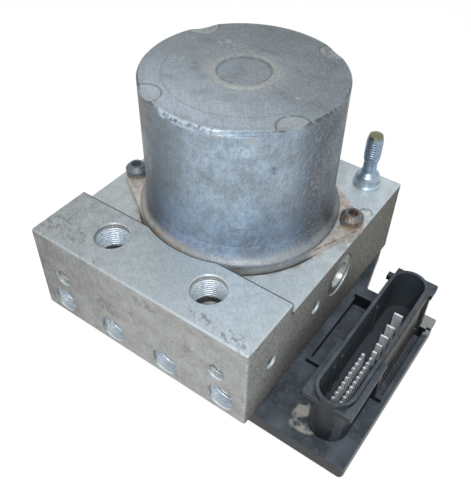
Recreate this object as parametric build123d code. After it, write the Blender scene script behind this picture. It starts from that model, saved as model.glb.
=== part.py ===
from build123d import *
from math import cos, radians, sin
import os

# Hydraulic unit of an anti-lock brake system: a drilled aluminium valve block, the pump motor
# that stands on it, and the control unit under it, whose plug connector stands up beside the block.
# Origin: on the motor's axis, in the plane of the control unit's cover, on which the unit rests.
# +Z runs up the motor's axis, -Y faces the four wheel ports, +X faces the plug connector.
# Millimetres throughout.

# ---- fits between pieces -------------------------------------------------------------------
seat_gap = 0.05          # each side of a piece that is pressed, staked or moulded into its seat
running_gap = 0.04       # each side of a shaft in its bearing and a piston in its bore
face_gap = 0.3           # between pieces that lie near each other and move apart
pocket_gap = 0.5         # round the motor flange, in the pocket of the raised land

# ---- valve block ---------------------------------------------------------------------------
block_width = 90.0       # along X
block_depth = 104.3      # along Y
block_height = 32.6      # underside to the face that the motor stands on
axis_from_left = 46.3    # motor axis from the block's left side
axis_from_front = 58.5   # motor axis from the wheel port face
land_rise = 4.9          # the raised land along the front, above the motor face
land_depth = 24.7
corner_radius = 0.8
edge_break = 0.6
ecu_depth = 24.0         # control unit, from the block's underside to its cover

# ---- hydraulic ports -----------------------------------------------------------------------
wheel_thread_radius = 5.0        # M10 x 1, one pipe to each wheel brake
wheel_port_depth = 12.0
wheel_port_pitch = 23.5
wheel_port_height = 7.4          # axis above the block's underside
master_thread_radius = 6.0       # M12 x 1, two pipes from the master cylinder
master_port_depth = 13.0
master_port_spacing = 40.8
master_port_from_front = 14.0
bracket_thread_radius = 3.0      # M6, for the carrier bracket
bracket_hole_depth = 9.5
bracket_hole_spacing = 66.8
bracket_hole_height = 20.0
mouth_break = 0.45               # countersink round a threaded mouth

# ---- plugs and stud ------------------------------------------------------------------------
ball_radius = 2.7
ball_height = 19.4               # side plugs, above the block's underside
ball_from_front = (14.0, 41.9)
top_plug_radius = 2.25
top_plug_place = (40.1, 22.9)
stud_place = (32.5, 38.4)
stud_thread_radius = 3.0
stud_rise = 22.9                 # tip above the motor face
stud_root = 10.5                 # thread length in the block

# ---- pump ----------------------------------------------------------------------------------
pump_height = 21.2               # pump axis above the block's underside
chamber_radius = 12.0
chamber_below_pump = 6.0         # chamber floor under the pump axis
shaft_radius = 4.0
eccentric_radius = 5.0
eccentric_throw = 1.0
eccentric_width = 9.0
ring_radius = 8.0                # bearing ring that pushes the pistons
piston_radius = 3.46
piston_length = 18.0
piston_stroke = 2.0              # twice the throw
sleeve_radius = 5.95
sleeve_start = 15.0              # inner end of the pump cylinder, from the motor axis
plug_radius = 8.3
plug_thickness = 4.4
plug_recess_radius = 5.0
plug_setback = 0.4               # below the block's side face

# ---- low-pressure accumulators -------------------------------------------------------------
accumulator_radius = 12.0
accumulator_depth = 22.0
accumulator_spacing = 38.0
accumulator_shift = -1.3         # middle of the pair, from the motor axis
accumulator_y = 28.0
accumulator_stroke = 7.0
accumulator_piston_length = 8.0
accumulator_cap_thickness = 2.9
spring_wire = 1.7
spring_turns = 3.0

# ---- solenoid valves -----------------------------------------------------------------------
valve_pitch = 20.0
valve_rows = (-33.0, -16.6)      # inlet row, outlet row
valve_body_radius = 4.55
valve_bore_depth = 13.0
dome_radius = 2.9
coil_width = 14.4
coil_height = 11.0
yoke_width = 16.0

# ---- motor ---------------------------------------------------------------------------------
motor_height = 53.6              # can top above the motor face
can_radius = 33.5
can_wall = 2.0
can_top_thickness = 2.5
lip_radius = 34.9                # rolled lip at the foot of the can
lip_height = 1.5
scoop_radius = 16.0              # four shallow stake marks on the can's rim
scoop_depth = 0.9
flange_radius = 36.3
flange_thickness = 3.0
ear_distance = 41.2              # motor screws from the axis
ear_angle = 17.0
ear_radius = 4.6
motor_screw_radius = 2.5
bearing_outer_radius = 9.5
bearing_width = 6.0
bush_outer_radius = 7.0
core_radius = 24.0
core_length = 24.0
air_gap = 0.6
magnet_angle = 74.0
commutator_radius = 9.0
guide_clearance = 4.5            # brush guides, inside the can's wall
spring_room = 6.0                # behind each brush, in its guide
terminal_y = 20.0                # motor supply post, behind the axis
post_radius = 3.0

# ---- control unit --------------------------------------------------------------------------
wall = 2.0                       # moulded wall
rim_height = 5.7                 # visible flange of the housing
gasket_thickness = 0.8
flange_inset = 5.6               # housing flange behind the wheel port face
extension_reach = 33.5           # connector extension, past the block's right side
extension_back = 19.7
box_from_front = 14.9            # deep part of the housing, inside the block's sides
box_from_left = 4.3
box_from_back = 11.8
box_reach = 30.3                 # deep part of the housing, past the block's right side
cover_thickness = 3.0
board_thickness = 1.6
ecu_screw_radius = 2.0

# ---- plug connector ------------------------------------------------------------------------
shroud_reach = 21.7              # middle of the connector, past the block's right side
shroud_front = -40.9             # centre of the rounded front end
shroud_back = 11.0               # centre of the rounded back end
shroud_radius = 6.8
shroud_wall = 1.2
shroud_rise = 20.4               # rim above the block's underside
collar_rise = 18.3
collar_thickness = 2.0
collar_reach = (8.9, 8.6)        # collar, left and right of the connector's middle
collar_overhang = 0.8            # collar past the rounded ends of the shroud
collar_ledge = 0.6               # what is left of it beside the shroud's long sides
socket_floor = 2.2               # floor of the socket above the block's underside
pin_rows = 2
pins_per_row = 10
pin_pitch = 2.32
pin_row_spacing = 2.9
pin_thickness = 0.8
pin_width = 1.2                  # along X
pin_tip = 9.5                    # contact tips above the block's underside
first_pin_y = -38.0
blade_offset = 1.4               # wide contacts, from the connector's middle
blades = (                       # place along Y, width along X, tip above the block's underside
    (-14.2, 1.8, 9.8),
    (-10.8, 2.4, 10.2),
    (-6.9, 3.0, 10.8),
    (-2.2, 3.2, 11.4),
    (3.6, 3.4, 12.2),
)

# ---- levels and sides that follow ----------------------------------------------------------
z_block = ecu_depth
z_face = z_block + block_height
z_land = z_face + land_rise
z_can = z_face + motor_height
z_pump = z_block + pump_height
z_housing = z_block - gasket_thickness
z_rim = z_housing - rim_height
z_flange = z_face + flange_thickness
left = -axis_from_left
right = left + block_width
front = -axis_from_front
back = front + block_depth
middle = (left + right) / 2
pocket_radius = flange_radius + pocket_gap
land_back = front + land_depth
ring_reach = eccentric_throw + ring_radius
socket_radius = shroud_radius - shroud_wall
extension_right = right + extension_reach
box_front = front + box_from_front
box_left = left + box_from_left
box_right = right + box_reach
box_back = back - box_from_back
shroud_x = right + shroud_reach
collar_left = shroud_x - collar_reach[0]
collar_right = shroud_x + collar_reach[1]
blade_x = shroud_x + blade_offset
guide_end = can_radius - can_wall - guide_clearance
brush_end = guide_end - spring_room

UP = (Align.CENTER, Align.CENTER, Align.MIN)


# ---- plain shapes --------------------------------------------------------------------------
def box(x0, x1, y0, y1, z0, z1):
    """Box between two corners."""
    size = Box(x1 - x0, y1 - y0, z1 - z0)
    return Pos((x0 + x1) / 2, (y0 + y1) / 2, (z0 + z1) / 2) * size


def rod(radius, z0, z1, x=0.0, y=0.0):
    """Upright cylinder between two levels."""
    return Pos(x, y, z0) * Cylinder(radius, z1 - z0, align=UP)


def rod_x(radius, x0, x1, y, z):
    """Cylinder along X between x0 and x1."""
    start = min(x0, x1)
    return Pos(start, y, z) * Rot(0, 90, 0) * Cylinder(radius, abs(x1 - x0), align=UP)


def turned(points):
    """Solid turned about Z from a closed outline of radius and height."""
    outline = make_face(Polyline(*points, close=True))
    return revolve(Plane.XZ * outline, Axis.Z)


def turned_x(points, side, y, z):
    """Solid turned about an axis along X; side is 1 for the right and -1 for the left."""
    tilt = 90 if side > 0 else -90
    return Pos(0, y, z) * Rot(0, tilt, 0) * turned(points)


def slab(outline, z0, z1):
    """Outline drawn on the ground plane, raised between two levels."""
    return extrude(Pos(0, 0, z0) * outline, z1 - z0)


def group(shapes):
    """Separate solids that share one node."""
    return Compound(children=[solid for shape in shapes for solid in shape.solids()])


def rounded(points, radii):
    """Closed outline with its own radius at each corner."""
    face = make_face(Polyline(*points, close=True))
    for corner, radius in zip(points, radii):
        if radius:
            near = face.vertices().sort_by_distance((corner[0], corner[1], 0))[0]
            face = fillet(near, radius)
    return face


# ---- places that repeat --------------------------------------------------------------------
wheel_x = [middle + (i - 1.5) * wheel_port_pitch for i in range(4)]
master_x = [middle + side * master_port_spacing / 2 for side in (-1, 1)]
bracket_x = [middle + side * bracket_hole_spacing / 2 for side in (-1, 1)]
valve_x = [middle + (i - 1.5) * valve_pitch for i in range(4)]
valve_places = [(x, y) for y in valve_rows for x in valve_x]
accumulator_x = [accumulator_shift + side * accumulator_spacing / 2 for side in (-1, 1)]
ear_places = [
    (side * ear_distance * cos(radians(ear_angle)), side * ear_distance * sin(radians(ear_angle)))
    for side in (1, -1)
]
ecu_screw_places = [
    (middle - wheel_port_pitch, front + 11.25),
    (middle + wheel_port_pitch, front + 11.25),
    (left + 8.3, back - 7.8),
    (right - 8.3, back - 7.8),
]
pin_places = [
    (shroud_x + (row - 0.5) * pin_row_spacing, first_pin_y + i * pin_pitch)
    for row in range(pin_rows)
    for i in range(pins_per_row)
]


# ---- valve block ---------------------------------------------------------------------------
def port_cutter(thread_radius, depth):
    """Countersunk mouth, threaded bore and drill point, pointing up into the metal."""
    mouth = thread_radius + mouth_break
    return turned([
        (0, -1), (mouth, -1), (mouth, 0), (thread_radius, mouth_break),
        (thread_radius, depth), (0, depth + 0.6 * thread_radius),
    ])


def make_valve_block():
    plan = Pos((left + right) / 2, (front + back) / 2) * RectangleRounded(
        block_width, block_depth, corner_radius)
    block = slab(plan, z_block, z_land)
    block = chamfer(block.faces().sort_by(Axis.Z)[0].edges(), edge_break)
    block = chamfer(block.faces().sort_by(Axis.Z)[-1].edges(), edge_break)
    block -= box(left - 1, right + 1, land_back, back + 1, z_face, z_land + 1)
    block -= rod(pocket_radius, z_face, z_land + 1)

    # wheel ports in the front, then the two carrier bracket holes above them
    z_wheel = z_block + wheel_port_height
    for x in wheel_x:
        cutter = port_cutter(wheel_thread_radius, wheel_port_depth)
        block -= Pos(x, front, z_wheel) * Rot(-90, 0, 0) * cutter
    for x in bracket_x:
        cutter = port_cutter(bracket_thread_radius, bracket_hole_depth)
        block -= Pos(x, front, z_block + bracket_hole_height) * Rot(-90, 0, 0) * cutter
    # master cylinder ports in the land
    for x in master_x:
        cutter = port_cutter(master_thread_radius, master_port_depth)
        block -= Pos(x, front + master_port_from_front, z_land) * Rot(180, 0, 0) * cutter

    # seats of the plugs that close the cross drillings
    for side, face in ((1, right), (-1, left)):
        for from_front in ball_from_front:
            block -= rod_x(ball_radius + seat_gap, face - side * 3.2, face + side,
                           front + from_front, z_block + ball_height)

    # motor and eccentric chamber, and the pump bore through it from side to side
    block -= Rot(0, 0, 90) * rod(chamber_radius, z_pump - chamber_below_pump, z_face + 1)
    block -= rod_x(sleeve_radius + seat_gap, left, right, 0, z_pump)
    for side, face in ((1, right), (-1, left)):
        block -= rod_x(plug_radius + seat_gap, face - side * (plug_thickness + plug_setback),
                       face + side, 0, z_pump)

    # accumulator bores and valve bores, from the underside
    for x in accumulator_x:
        block -= rod(accumulator_radius, z_block - 1, z_block + accumulator_depth, x, accumulator_y)
    for x, y in valve_places:
        block -= rod(valve_body_radius + seat_gap, z_block - 1, z_block + valve_bore_depth, x, y)

    # motor supply post, stud, screws, and the small plug beside the motor
    block -= rod(post_radius + seat_gap, z_block - 1, z_face + 1, 0, terminal_y)
    block -= rod(stud_thread_radius + seat_gap, z_face - stud_root - 0.5, z_face + 1, *stud_place)
    block -= rod(top_plug_radius + seat_gap, z_face - 3, z_face + 1, *top_plug_place)
    for x, y in ear_places:
        block -= rod(motor_screw_radius + seat_gap, z_face - 12.5, z_face + 1, x, y)
    for x, y in ecu_screw_places:
        block -= rod(ecu_screw_radius + seat_gap, z_block - 1, z_block + 10.5, x, y)
    return block


def make_ball_plugs():
    """Plugs pressed into the cross drillings of both sides, and one beside the motor."""
    z = z_block + ball_height
    plugs = []
    for side, face in ((1, right), (-1, left)):
        for from_front in ball_from_front:
            outline = [(0, 0), (ball_radius, 0), (ball_radius, 2.3), (0, 2.95)]
            plug = turned_x(outline, side, front + from_front, z)
            plugs.append(Pos(face - side * 3.1, 0, 0) * plug)
    r = top_plug_radius
    outline = [(0, 0), (r, 0), (r, 2.7), (0, 3.4)]
    plugs.append(Pos(top_plug_place[0], top_plug_place[1], z_face - 2.9) * turned(outline))
    return group(plugs)


def make_mounting_stud():
    """Stud for the rubber mount: thread, waist, domed shoulder, collar and foot."""
    r = stud_thread_radius
    tip = stud_rise
    stud = turned([
        (0, -stud_root), (r, -stud_root), (r, 0), (5.5, 0), (5.5, 0.8), (4.95, 1.6), (4.7, 3.6),
        (4.2, 4.8), (2.8, 6.4), (2.6, 7.6), (2.6, 10.8), (r, 12.0), (r, tip - 2.4), (r - 0.5, tip - 0.7),
        (0, tip),
    ])
    return Pos(stud_place[0], stud_place[1], z_face) * stud


# ---- pump ----------------------------------------------------------------------------------
def pump_outer(side):
    """Distance of a pump plug's inner face from the motor axis."""
    face = right if side > 0 else -left
    return face - plug_setback - plug_thickness


def make_pump_plug(side):
    """Staked plug with a round recess, closing a pump bore."""
    start = pump_outer(side)
    end = start + plug_thickness
    return turned_x([
        (0, start), (plug_radius, start), (plug_radius, end - 0.4), (plug_radius - 0.4, end),
        (plug_recess_radius, end), (plug_recess_radius - 0.6, end - 2.2), (0, end - 2.2),
    ], side, 0, z_pump)


def make_pump_cylinder(side):
    """Sleeve that guides the piston, closed behind the return spring but for the outlet."""
    end = pump_outer(side) - seat_gap
    bore = piston_radius + running_gap
    bottom = end - 3.0
    return turned_x([
        (bore, sleeve_start), (sleeve_radius, sleeve_start), (sleeve_radius, end), (1.1, end),
        (1.1, bottom), (bore, bottom),
    ], side, 0, z_pump)


def make_pump_piston(side):
    """Piston with a chamfered foot, which the eccentric ring pushes."""
    start = ring_reach + face_gap
    end = start + piston_length
    return turned_x([
        (0, start), (piston_radius - 0.6, start), (piston_radius, start + 0.6),
        (piston_radius, end), (0, end),
    ], side, 0, z_pump)


def coil_spring(radius, wire, length, turns):
    """Coil spring of square wire standing on the ground plane, all of it inside the given length."""
    rise = length - wire
    path = Pos(0, 0, wire / 2) * Helix(rise / turns, rise, radius)
    section = Pos(radius, 0, wire / 2) * Rot(90, 0, 0) * Rectangle(wire, wire)
    return sweep(section, path=path, is_frenet=True)


def make_pump_spring(side):
    """Return spring behind the piston, drawn at the length it has with the piston driven home."""
    start = ring_reach + face_gap + piston_length
    spring = coil_spring(2.4, 0.7, 4.0, 2.0)
    tilt = 90 if side > 0 else -90
    return Pos(side * (start + seat_gap), 0, z_pump) * Rot(0, tilt, 0) * spring


# ---- accumulators --------------------------------------------------------------------------
piston_top = z_block + accumulator_depth - face_gap
piston_foot = piston_top - accumulator_piston_length
piston_crown = 3.0
ring_groove_z = piston_top - 4.0
groove_half = 1.0


def make_accumulator_piston(x):
    """Cup piston with a seal groove; the spring stands in the cup."""
    r = accumulator_radius - running_gap
    inner = 8.6
    return Pos(x, accumulator_y, 0) * turned([
        (0, piston_top - piston_crown), (inner, piston_top - piston_crown), (inner, piston_foot),
        (r, piston_foot), (r, ring_groove_z - groove_half), (r - 1.6, ring_groove_z - groove_half),
        (r - 1.6, ring_groove_z + groove_half), (r, ring_groove_z + groove_half),
        (r, piston_top), (0, piston_top),
    ])


def make_accumulator_seal(x):
    """Square seal ring in the piston's groove."""
    inner = accumulator_radius - running_gap - 1.6 + seat_gap
    half = groove_half - seat_gap
    ring = Circle(accumulator_radius - running_gap - 0.02) - Circle(inner)
    return Pos(x, accumulator_y, 0) * slab(ring, ring_groove_z - half, ring_groove_z + half)


def make_accumulator_cap(x):
    """Cap pressed into the bore, on which the spring stands."""
    low = z_block + 0.3
    return rod(accumulator_radius - seat_gap, low, low + accumulator_cap_thickness, x, accumulator_y)


def make_accumulator_spring(x):
    low = z_block + 0.3 + accumulator_cap_thickness
    length = piston_top - piston_crown - low - 2 * seat_gap
    spring = coil_spring(6.4, spring_wire, length, spring_turns)
    return Pos(x, accumulator_y, low + seat_gap) * spring


# ---- solenoid valves -----------------------------------------------------------------------
coil_top = z_housing - wall - face_gap
coil_foot = coil_top - coil_height


def make_valves(row, screen_radius):
    """Valve cartridges of one row: stepped body in the block and a domed tube in its coil."""
    foot = coil_foot + 0.4
    top = z_block + valve_bore_depth - face_gap
    valve = turned([
        (0, foot), (dome_radius, foot), (dome_radius, z_block + 0.2),
        (valve_body_radius, z_block + 0.2), (valve_body_radius, z_block + 6.5),
        (screen_radius, top), (0, top),
    ])
    return group([Pos(x, valve_rows[row], 0) * valve for x in valve_x])


def make_coils():
    """Coils moulded in square blocks, one round each valve dome."""
    plan = Rectangle(coil_width, coil_width) - Circle(dome_radius + 0.2)
    coil = slab(plan, coil_foot, coil_top)
    return group([Pos(x, y, 0) * coil for x, y in valve_places])


def make_yokes():
    """Square steel frames round the coils, which carry their magnetic flux."""
    inner = coil_width + 2 * seat_gap
    plan = Rectangle(yoke_width, yoke_width) - Rectangle(inner, inner)
    yoke = slab(plan, coil_foot, coil_top)
    return group([Pos(x, y, 0) * yoke for x, y in valve_places])


# ---- motor ---------------------------------------------------------------------------------
bearing_foot = z_face - 5.2
spigot_foot = bearing_foot - 1.0
can_foot = z_flange
commutator_foot = z_flange + 4.3
core_foot = z_flange + 17.0
core_top = core_foot + core_length
shaft_top = z_can - can_top_thickness - 0.4
bush_foot = z_can - can_top_thickness - 3.6


def flange_outline():
    """Round flange drawn out to the two screw ears."""
    rims = [Circle(flange_radius)] + [Pos(x, y) * Circle(ear_radius) for x, y in ear_places]
    edges = [edge for rim in rims for edge in rim.edges()]
    return make_hull(edges)


def make_motor_flange():
    """End plate with two ears and a spigot that carries the lower bearing."""
    flange = slab(flange_outline(), z_face, z_flange)
    flange += rod(chamber_radius - seat_gap, spigot_foot, z_face)
    flange -= rod(bearing_outer_radius + seat_gap, bearing_foot, z_flange + 1)
    flange -= rod(shaft_radius + 2.5, spigot_foot - 1, bearing_foot + 1)
    flange -= rod(post_radius + seat_gap, z_face - 1, z_flange + 1, 0, terminal_y)
    for x, y in ear_places:
        flange -= rod(motor_screw_radius + face_gap, z_face - 1, z_flange + 1, x, y)
    return flange


def make_motor_can():
    """Drawn steel can with a rolled lip, a boss for the top bush and four stake marks."""
    inner = can_radius - can_wall
    ceiling = z_can - can_top_thickness
    bush = bush_outer_radius + seat_gap
    can = turned([
        (inner, can_foot), (lip_radius, can_foot), (lip_radius, can_foot + lip_height - 0.8),
        (lip_radius - 0.8, can_foot + lip_height), (can_radius + 0.3, can_foot + lip_height + 0.3),
        (can_radius, can_foot + lip_height + 1.0), (can_radius, z_can - 0.5),
        (can_radius - 0.5, z_can), (11.2, z_can), (10.4, z_can + 0.45), (9.2, z_can + 0.45),
        (8.3, z_can), (0, z_can), (0, ceiling), (bush, ceiling), (bush, bush_foot),
        (bush + 2.0, bush_foot), (bush + 2.0, ceiling), (inner, ceiling),
    ])
    for angle in (60, 150, 240, 330):
        reach = can_radius - 0.6
        scoop = Pos(reach * cos(radians(angle)), reach * sin(radians(angle)),
                    z_can + scoop_radius - scoop_depth)
        can -= scoop * Sphere(scoop_radius)
    ledge = box(can_radius - 1.3, can_radius + 2, -9, 9, z_can - 1.5, z_can + 1)
    can -= Rot(0, 0, -52.5) * ledge
    return can


def make_magnets():
    """Four curved magnets glued inside the can."""
    outer = can_radius - can_wall - seat_gap
    inner = core_radius + air_gap
    half = Rot(0, 0, -magnet_angle / 2)
    outline = make_face(Polyline(
        (inner, core_foot - 2), (outer, core_foot - 2), (outer, core_top + 2), (inner, core_top + 2),
        close=True))
    magnet = revolve(Plane.XZ * outline, Axis.Z, magnet_angle)
    return group([Rot(0, 0, 45 + 90 * i) * half * magnet for i in range(4)])


def make_brush_holder():
    """Moulded plate with two brush guides and a seat for the supply post."""
    foot = z_flange + seat_gap
    plate = rod(can_radius - can_wall - face_gap, foot, foot + 2.4)
    plate -= rod(commutator_radius + 2.5, foot - 1, foot + 4)
    for side in (1, -1):
        guide = box(12, guide_end, -4.6, 4.6, foot + 2.4, foot + 11.4)
        guide -= box(11, guide_end + 1, -3.1, 3.1, foot + 3.6, foot + 10.2)
        plate += guide if side > 0 else Rot(0, 0, 180) * guide
    plate += rod(post_radius + 2.0, foot + 2.4, foot + 6.0, 0, terminal_y)
    plate -= rod(post_radius + seat_gap, foot - 1, foot + 5.0, 0, terminal_y)
    return plate


def make_brushes():
    """Carbon brushes, each with a concave face against the commutator."""
    foot = z_flange + 3.7
    brush = box(commutator_radius - 1, brush_end, -3.0, 3.0, foot, foot + 6.3)
    brush -= rod(commutator_radius + running_gap, foot - 1, foot + 8)
    return group([brush, Rot(0, 0, 180) * brush])


def make_brush_springs():
    """Springs behind the brushes, inside their guides."""
    length = spring_room - 0.6
    springs = []
    for side in (1, -1):
        spring = coil_spring(2.0, 0.35, length, 3.0)
        place = Pos(side * (brush_end + seat_gap), 0, z_flange + 6.85) * Rot(0, 90 * side, 0)
        springs.append(place * spring)
    return group(springs)


def make_lower_bearing():
    """Sealed ball bearing pressed into the flange, with its shields set back."""
    top = bearing_foot + bearing_width
    bore = shaft_radius + running_gap
    return turned([
        (bore, bearing_foot), (bearing_outer_radius, bearing_foot), (bearing_outer_radius, top),
        (8.0, top), (8.0, top - 0.4), (5.6, top - 0.4), (5.6, top), (bore, top),
    ])


def make_top_bush():
    top = z_can - can_top_thickness - seat_gap
    return turned([
        (shaft_radius + running_gap, bush_foot), (bush_outer_radius, bush_foot),
        (bush_outer_radius, top), (shaft_radius + running_gap, top),
    ])


def make_motor_shaft():
    """Shaft with the pump's eccentric turned on its lower end."""
    low = z_pump - eccentric_width / 2
    high = low + eccentric_width
    shaft = turned([
        (0, low - 0.4), (3.4, low - 0.4), (3.4, high), (shaft_radius, high + 0.6),
        (shaft_radius, shaft_top), (0, shaft_top),
    ])
    shaft += rod(eccentric_radius, low, high, eccentric_throw, 0)
    return shaft


def make_eccentric_ring():
    """Outer ring of the bearing on the eccentric; it pushes the pistons without turning."""
    bore = eccentric_radius + running_gap
    low = z_pump - eccentric_width / 2 + 0.5
    high = low + eccentric_width - 1.0
    return Pos(eccentric_throw, 0, 0) * slab(Circle(ring_radius) - Circle(bore), low, high)


def make_armature_core():
    """Stack of laminations with eight slots for the windings."""
    core = Circle(core_radius) - Circle(shaft_radius + seat_gap)
    slot = Pos(core_radius - 6.0, 0) * Rectangle(9.0, 5.0) + Pos(core_radius, 0) * Rectangle(5.0, 2.0)
    for i in range(8):
        core -= Rot(0, 0, 45 * i) * slot
    return slab(core, core_foot, core_top)


def make_windings():
    """End turns above and below the core, joined through its slots."""
    hub = shaft_radius + 1.5
    lower = turned([
        (hub, core_foot - 3.4), (15.0, core_foot - 3.4), (21.5, core_foot - seat_gap),
        (hub, core_foot - seat_gap),
    ])
    upper = turned([
        (hub, core_top + seat_gap), (21.5, core_top + seat_gap), (15.0, core_top + 2.8),
        (hub, core_top + 2.8),
    ])
    body = lower + upper
    slot = Pos(core_radius - 6.0, 0) * Rectangle(9.0 - 4 * seat_gap, 5.0 - 4 * seat_gap)
    for i in range(8):
        body += Rot(0, 0, 45 * i) * slab(slot, core_foot - 0.5, core_top + 0.5)
    return body


def make_commutator():
    """Copper commutator with its segments parted by shallow grooves."""
    ring = Circle(commutator_radius) - Circle(shaft_radius + seat_gap)
    for i in range(12):
        ring -= Rot(0, 0, 30 * i) * Pos(commutator_radius, 0) * Rectangle(1.2, 0.5)
    return slab(ring, commutator_foot - 1.0, core_foot - 3.6)


def make_terminal_post():
    """Insulated post that takes the motor's supply down through the block."""
    post = rod(post_radius, z_housing - wall - 0.6, z_flange + 4.8, 0, terminal_y)
    for x in (-1.2, 1.2):
        post -= box(x - 0.4 - seat_gap, x + 0.4 + seat_gap, terminal_y - 1.1, terminal_y + 1.1, 0, z_can)
    return post


def make_terminal_blades():
    """Two contact blades through the post, from the board to the brush holder."""
    low = board_top + seat_gap
    high = z_flange + 4.4
    return group([
        box(x - 0.4, x + 0.4, terminal_y - 1.0, terminal_y + 1.0, low, high) for x in (-1.2, 1.2)
    ])


def make_motor_screws():
    """Round-headed socket screws through the flange ears into the block."""
    head = 4.2
    screws = []
    for x, y in ear_places:
        screw = turned([
            (0, -12.0), (motor_screw_radius, -12.0), (motor_screw_radius, flange_thickness + seat_gap),
            (head, flange_thickness + seat_gap), (head, flange_thickness + 2.6),
            (head - 1.5, flange_thickness + 4.2), (0, flange_thickness + 4.2),
        ])
        socket = slab(RegularPolygon(2.0, 6), flange_thickness + 1.9, flange_thickness + 5)
        screws.append(Pos(x, y, z_face) * (screw - socket))
    return group(screws)


# ---- control unit --------------------------------------------------------------------------
board_top = cover_thickness + 1.6 + board_thickness


def flange_plan(inset=0.0):
    """Housing flange: it follows the block, then steps out to carry the connector."""
    f = front + flange_inset + inset
    l = left + 2.0 + inset
    r = extension_right - inset
    e = extension_back - inset
    b = back - 2.0 - inset
    points = [
        (l, f), (r, f), (r, e), (right + 4.6 - inset, e), (right + 0.6 - inset, back - 8.3),
        (right - 0.6 - inset, b), (l, b),
    ]
    return rounded(points, [3.0, max(1.6 - inset, 0.4), 3.0, 1.2, 0, 2.0, 3.0])


def box_plan(inset=0.0):
    """Deep part of the housing, round the coils and the board."""
    step_x = right + 0.3 - inset
    step_y = extension_back - 3.7 - inset
    points = [
        (box_left + inset, box_front + inset), (box_right - inset, box_front + inset),
        (box_right - inset, step_y), (step_x, step_y),
        (step_x, box_back - inset), (box_left + inset, box_back - inset),
    ]
    outer = max(3.0 - inset, 1.0)
    return rounded(points, [outer, outer, outer, 0, outer, outer])


def socket_plan(radius, lengthen=0.0):
    """Plan of the plug connector: two half rounds joined by straight sides."""
    length = shroud_back - shroud_front
    centre = (shroud_back + shroud_front) / 2
    return Pos(shroud_x, centre) * Rot(0, 0, 90) * SlotCenterToCenter(length, 2 * radius)


rib_front = -24.6                # front face of the front pair of guide ribs
rib_back = 14.5                  # back face of the back pair
rib_thickness = 1.9
slot_width = 2.2
tray_depth = 3.0
pad_rise = 1.3


def make_ecu_housing():
    """Moulded housing with the plug connector's shroud, its collar and guide ribs."""
    plate = z_housing - wall
    body = slab(flange_plan(), z_rim, z_housing) - slab(flange_plan(wall), z_rim - 1, plate)
    body += slab(box_plan(), cover_thickness, plate)
    body -= slab(box_plan(wall), cover_thickness - 1, plate)
    reach = (valve_x[3] - valve_x[0] + yoke_width) / 2
    body -= box(middle - reach, middle + reach, valve_rows[0] - yoke_width / 2,
                valve_rows[1] + yoke_width / 2, plate - 1, z_housing + 1)

    # trays each side of the shroud, with a slot and a rib at each end
    trays = ((right + 3.3, shroud_x - shroud_radius - 1.6), (shroud_x + shroud_radius + 0.2, box_right + 1.2))
    y0 = rib_front + rib_thickness
    y1 = rib_back - rib_thickness
    for x0, x1 in trays:
        body += box(x0 - wall, x1 + wall, y0 - wall, y1 + wall, z_housing - tray_depth - wall, plate)
        body -= box(x0, x1, y0 + slot_width, y1 - slot_width, z_housing - tray_depth, z_housing + 1)
        for y in (y0, y1 - slot_width):
            body -= box(x0, x1, y, y + slot_width, z_housing - tray_depth - 0.8, z_housing + 1)
        for y in (rib_front, y1):
            body += box(x0 - 0.5, x1 + 0.6, y, y + rib_thickness, plate, z_housing + 2.2)

    # shroud, collar and socket
    shroud_top = z_block + shroud_rise
    collar_top = z_block + collar_rise
    body += slab(socket_plan(shroud_radius), plate, shroud_top)
    collar_back = shroud_back + shroud_radius + collar_overhang
    collar = box(collar_left, collar_right, shroud_front - shroud_radius + 0.2, collar_back,
                 collar_top - collar_thickness, collar_top)
    collar = fillet(collar.edges().filter_by(Axis.Z), 0.8)
    collar -= box(collar_left - 1, collar_left + 2.0, collar_back - 3.6, collar_back + 3, 0, z_can)
    # between the guide ribs only a narrow ledge of it is left
    for x0, x1 in ((collar_left - 1, shroud_x - shroud_radius - collar_ledge),
                   (shroud_x + shroud_radius + collar_ledge, collar_right + 1)):
        collar -= box(x0, x1, y0, y1, 0, z_can)
    body += collar
    for y in (rib_front, y1):
        body += box(collar_left + 1.5, collar_right - 0.6, y, y + rib_thickness, plate,
                    collar_top - collar_thickness)
    body -= slab(socket_plan(socket_radius), z_block + socket_floor, shroud_top + 1)

    # polarising ribs on the inner side wall
    for y in (-33.0, -27.5, -2.0):
        x = shroud_x - socket_radius
        body += box(x - 0.4, x + 0.7, y, y + 1.4, z_block + socket_floor, shroud_top - 4)

    # raised pad at the back corner beside the connector
    body += box(extension_right - 5.8, extension_right, rib_back, extension_back,
                z_housing - 1, z_housing + pad_rise)

    # contacts, supply post and screws pass through
    half = pin_thickness / 2 + seat_gap
    floor = z_block + socket_floor
    for x, _ in pin_places[::pins_per_row]:
        reach = pin_width / 2 + seat_gap
        last_pin_y = first_pin_y + (pins_per_row - 1) * pin_pitch
        body -= box(x - reach, x + reach, first_pin_y - half, last_pin_y + half, plate - 1, floor + 1)
    for y, width, _ in blades:
        reach = width / 2 + seat_gap
        body -= box(blade_x - reach, blade_x + reach, y - half, y + half, plate - 1, floor + 1)
    body -= rod(post_radius + seat_gap, plate - 1, z_housing + 1, 0, terminal_y)
    for x, y in ecu_screw_places:
        body -= rod(ecu_screw_radius + face_gap, plate - 1, z_housing + 1, x, y)
    return body


def make_ecu_cover():
    """Cover that closes the housing, with a lip inside its wall and a chamfered edge."""
    cover = slab(box_plan(), 0, cover_thickness - seat_gap)
    cover = chamfer(cover.faces().sort_by(Axis.Z)[0].edges(), 1.0)
    lip = slab(box_plan(wall + 0.1), cover_thickness - 0.5, cover_thickness + 1.5)
    lip -= slab(box_plan(wall + 1.7), 0, z_can)
    return cover + lip


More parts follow.
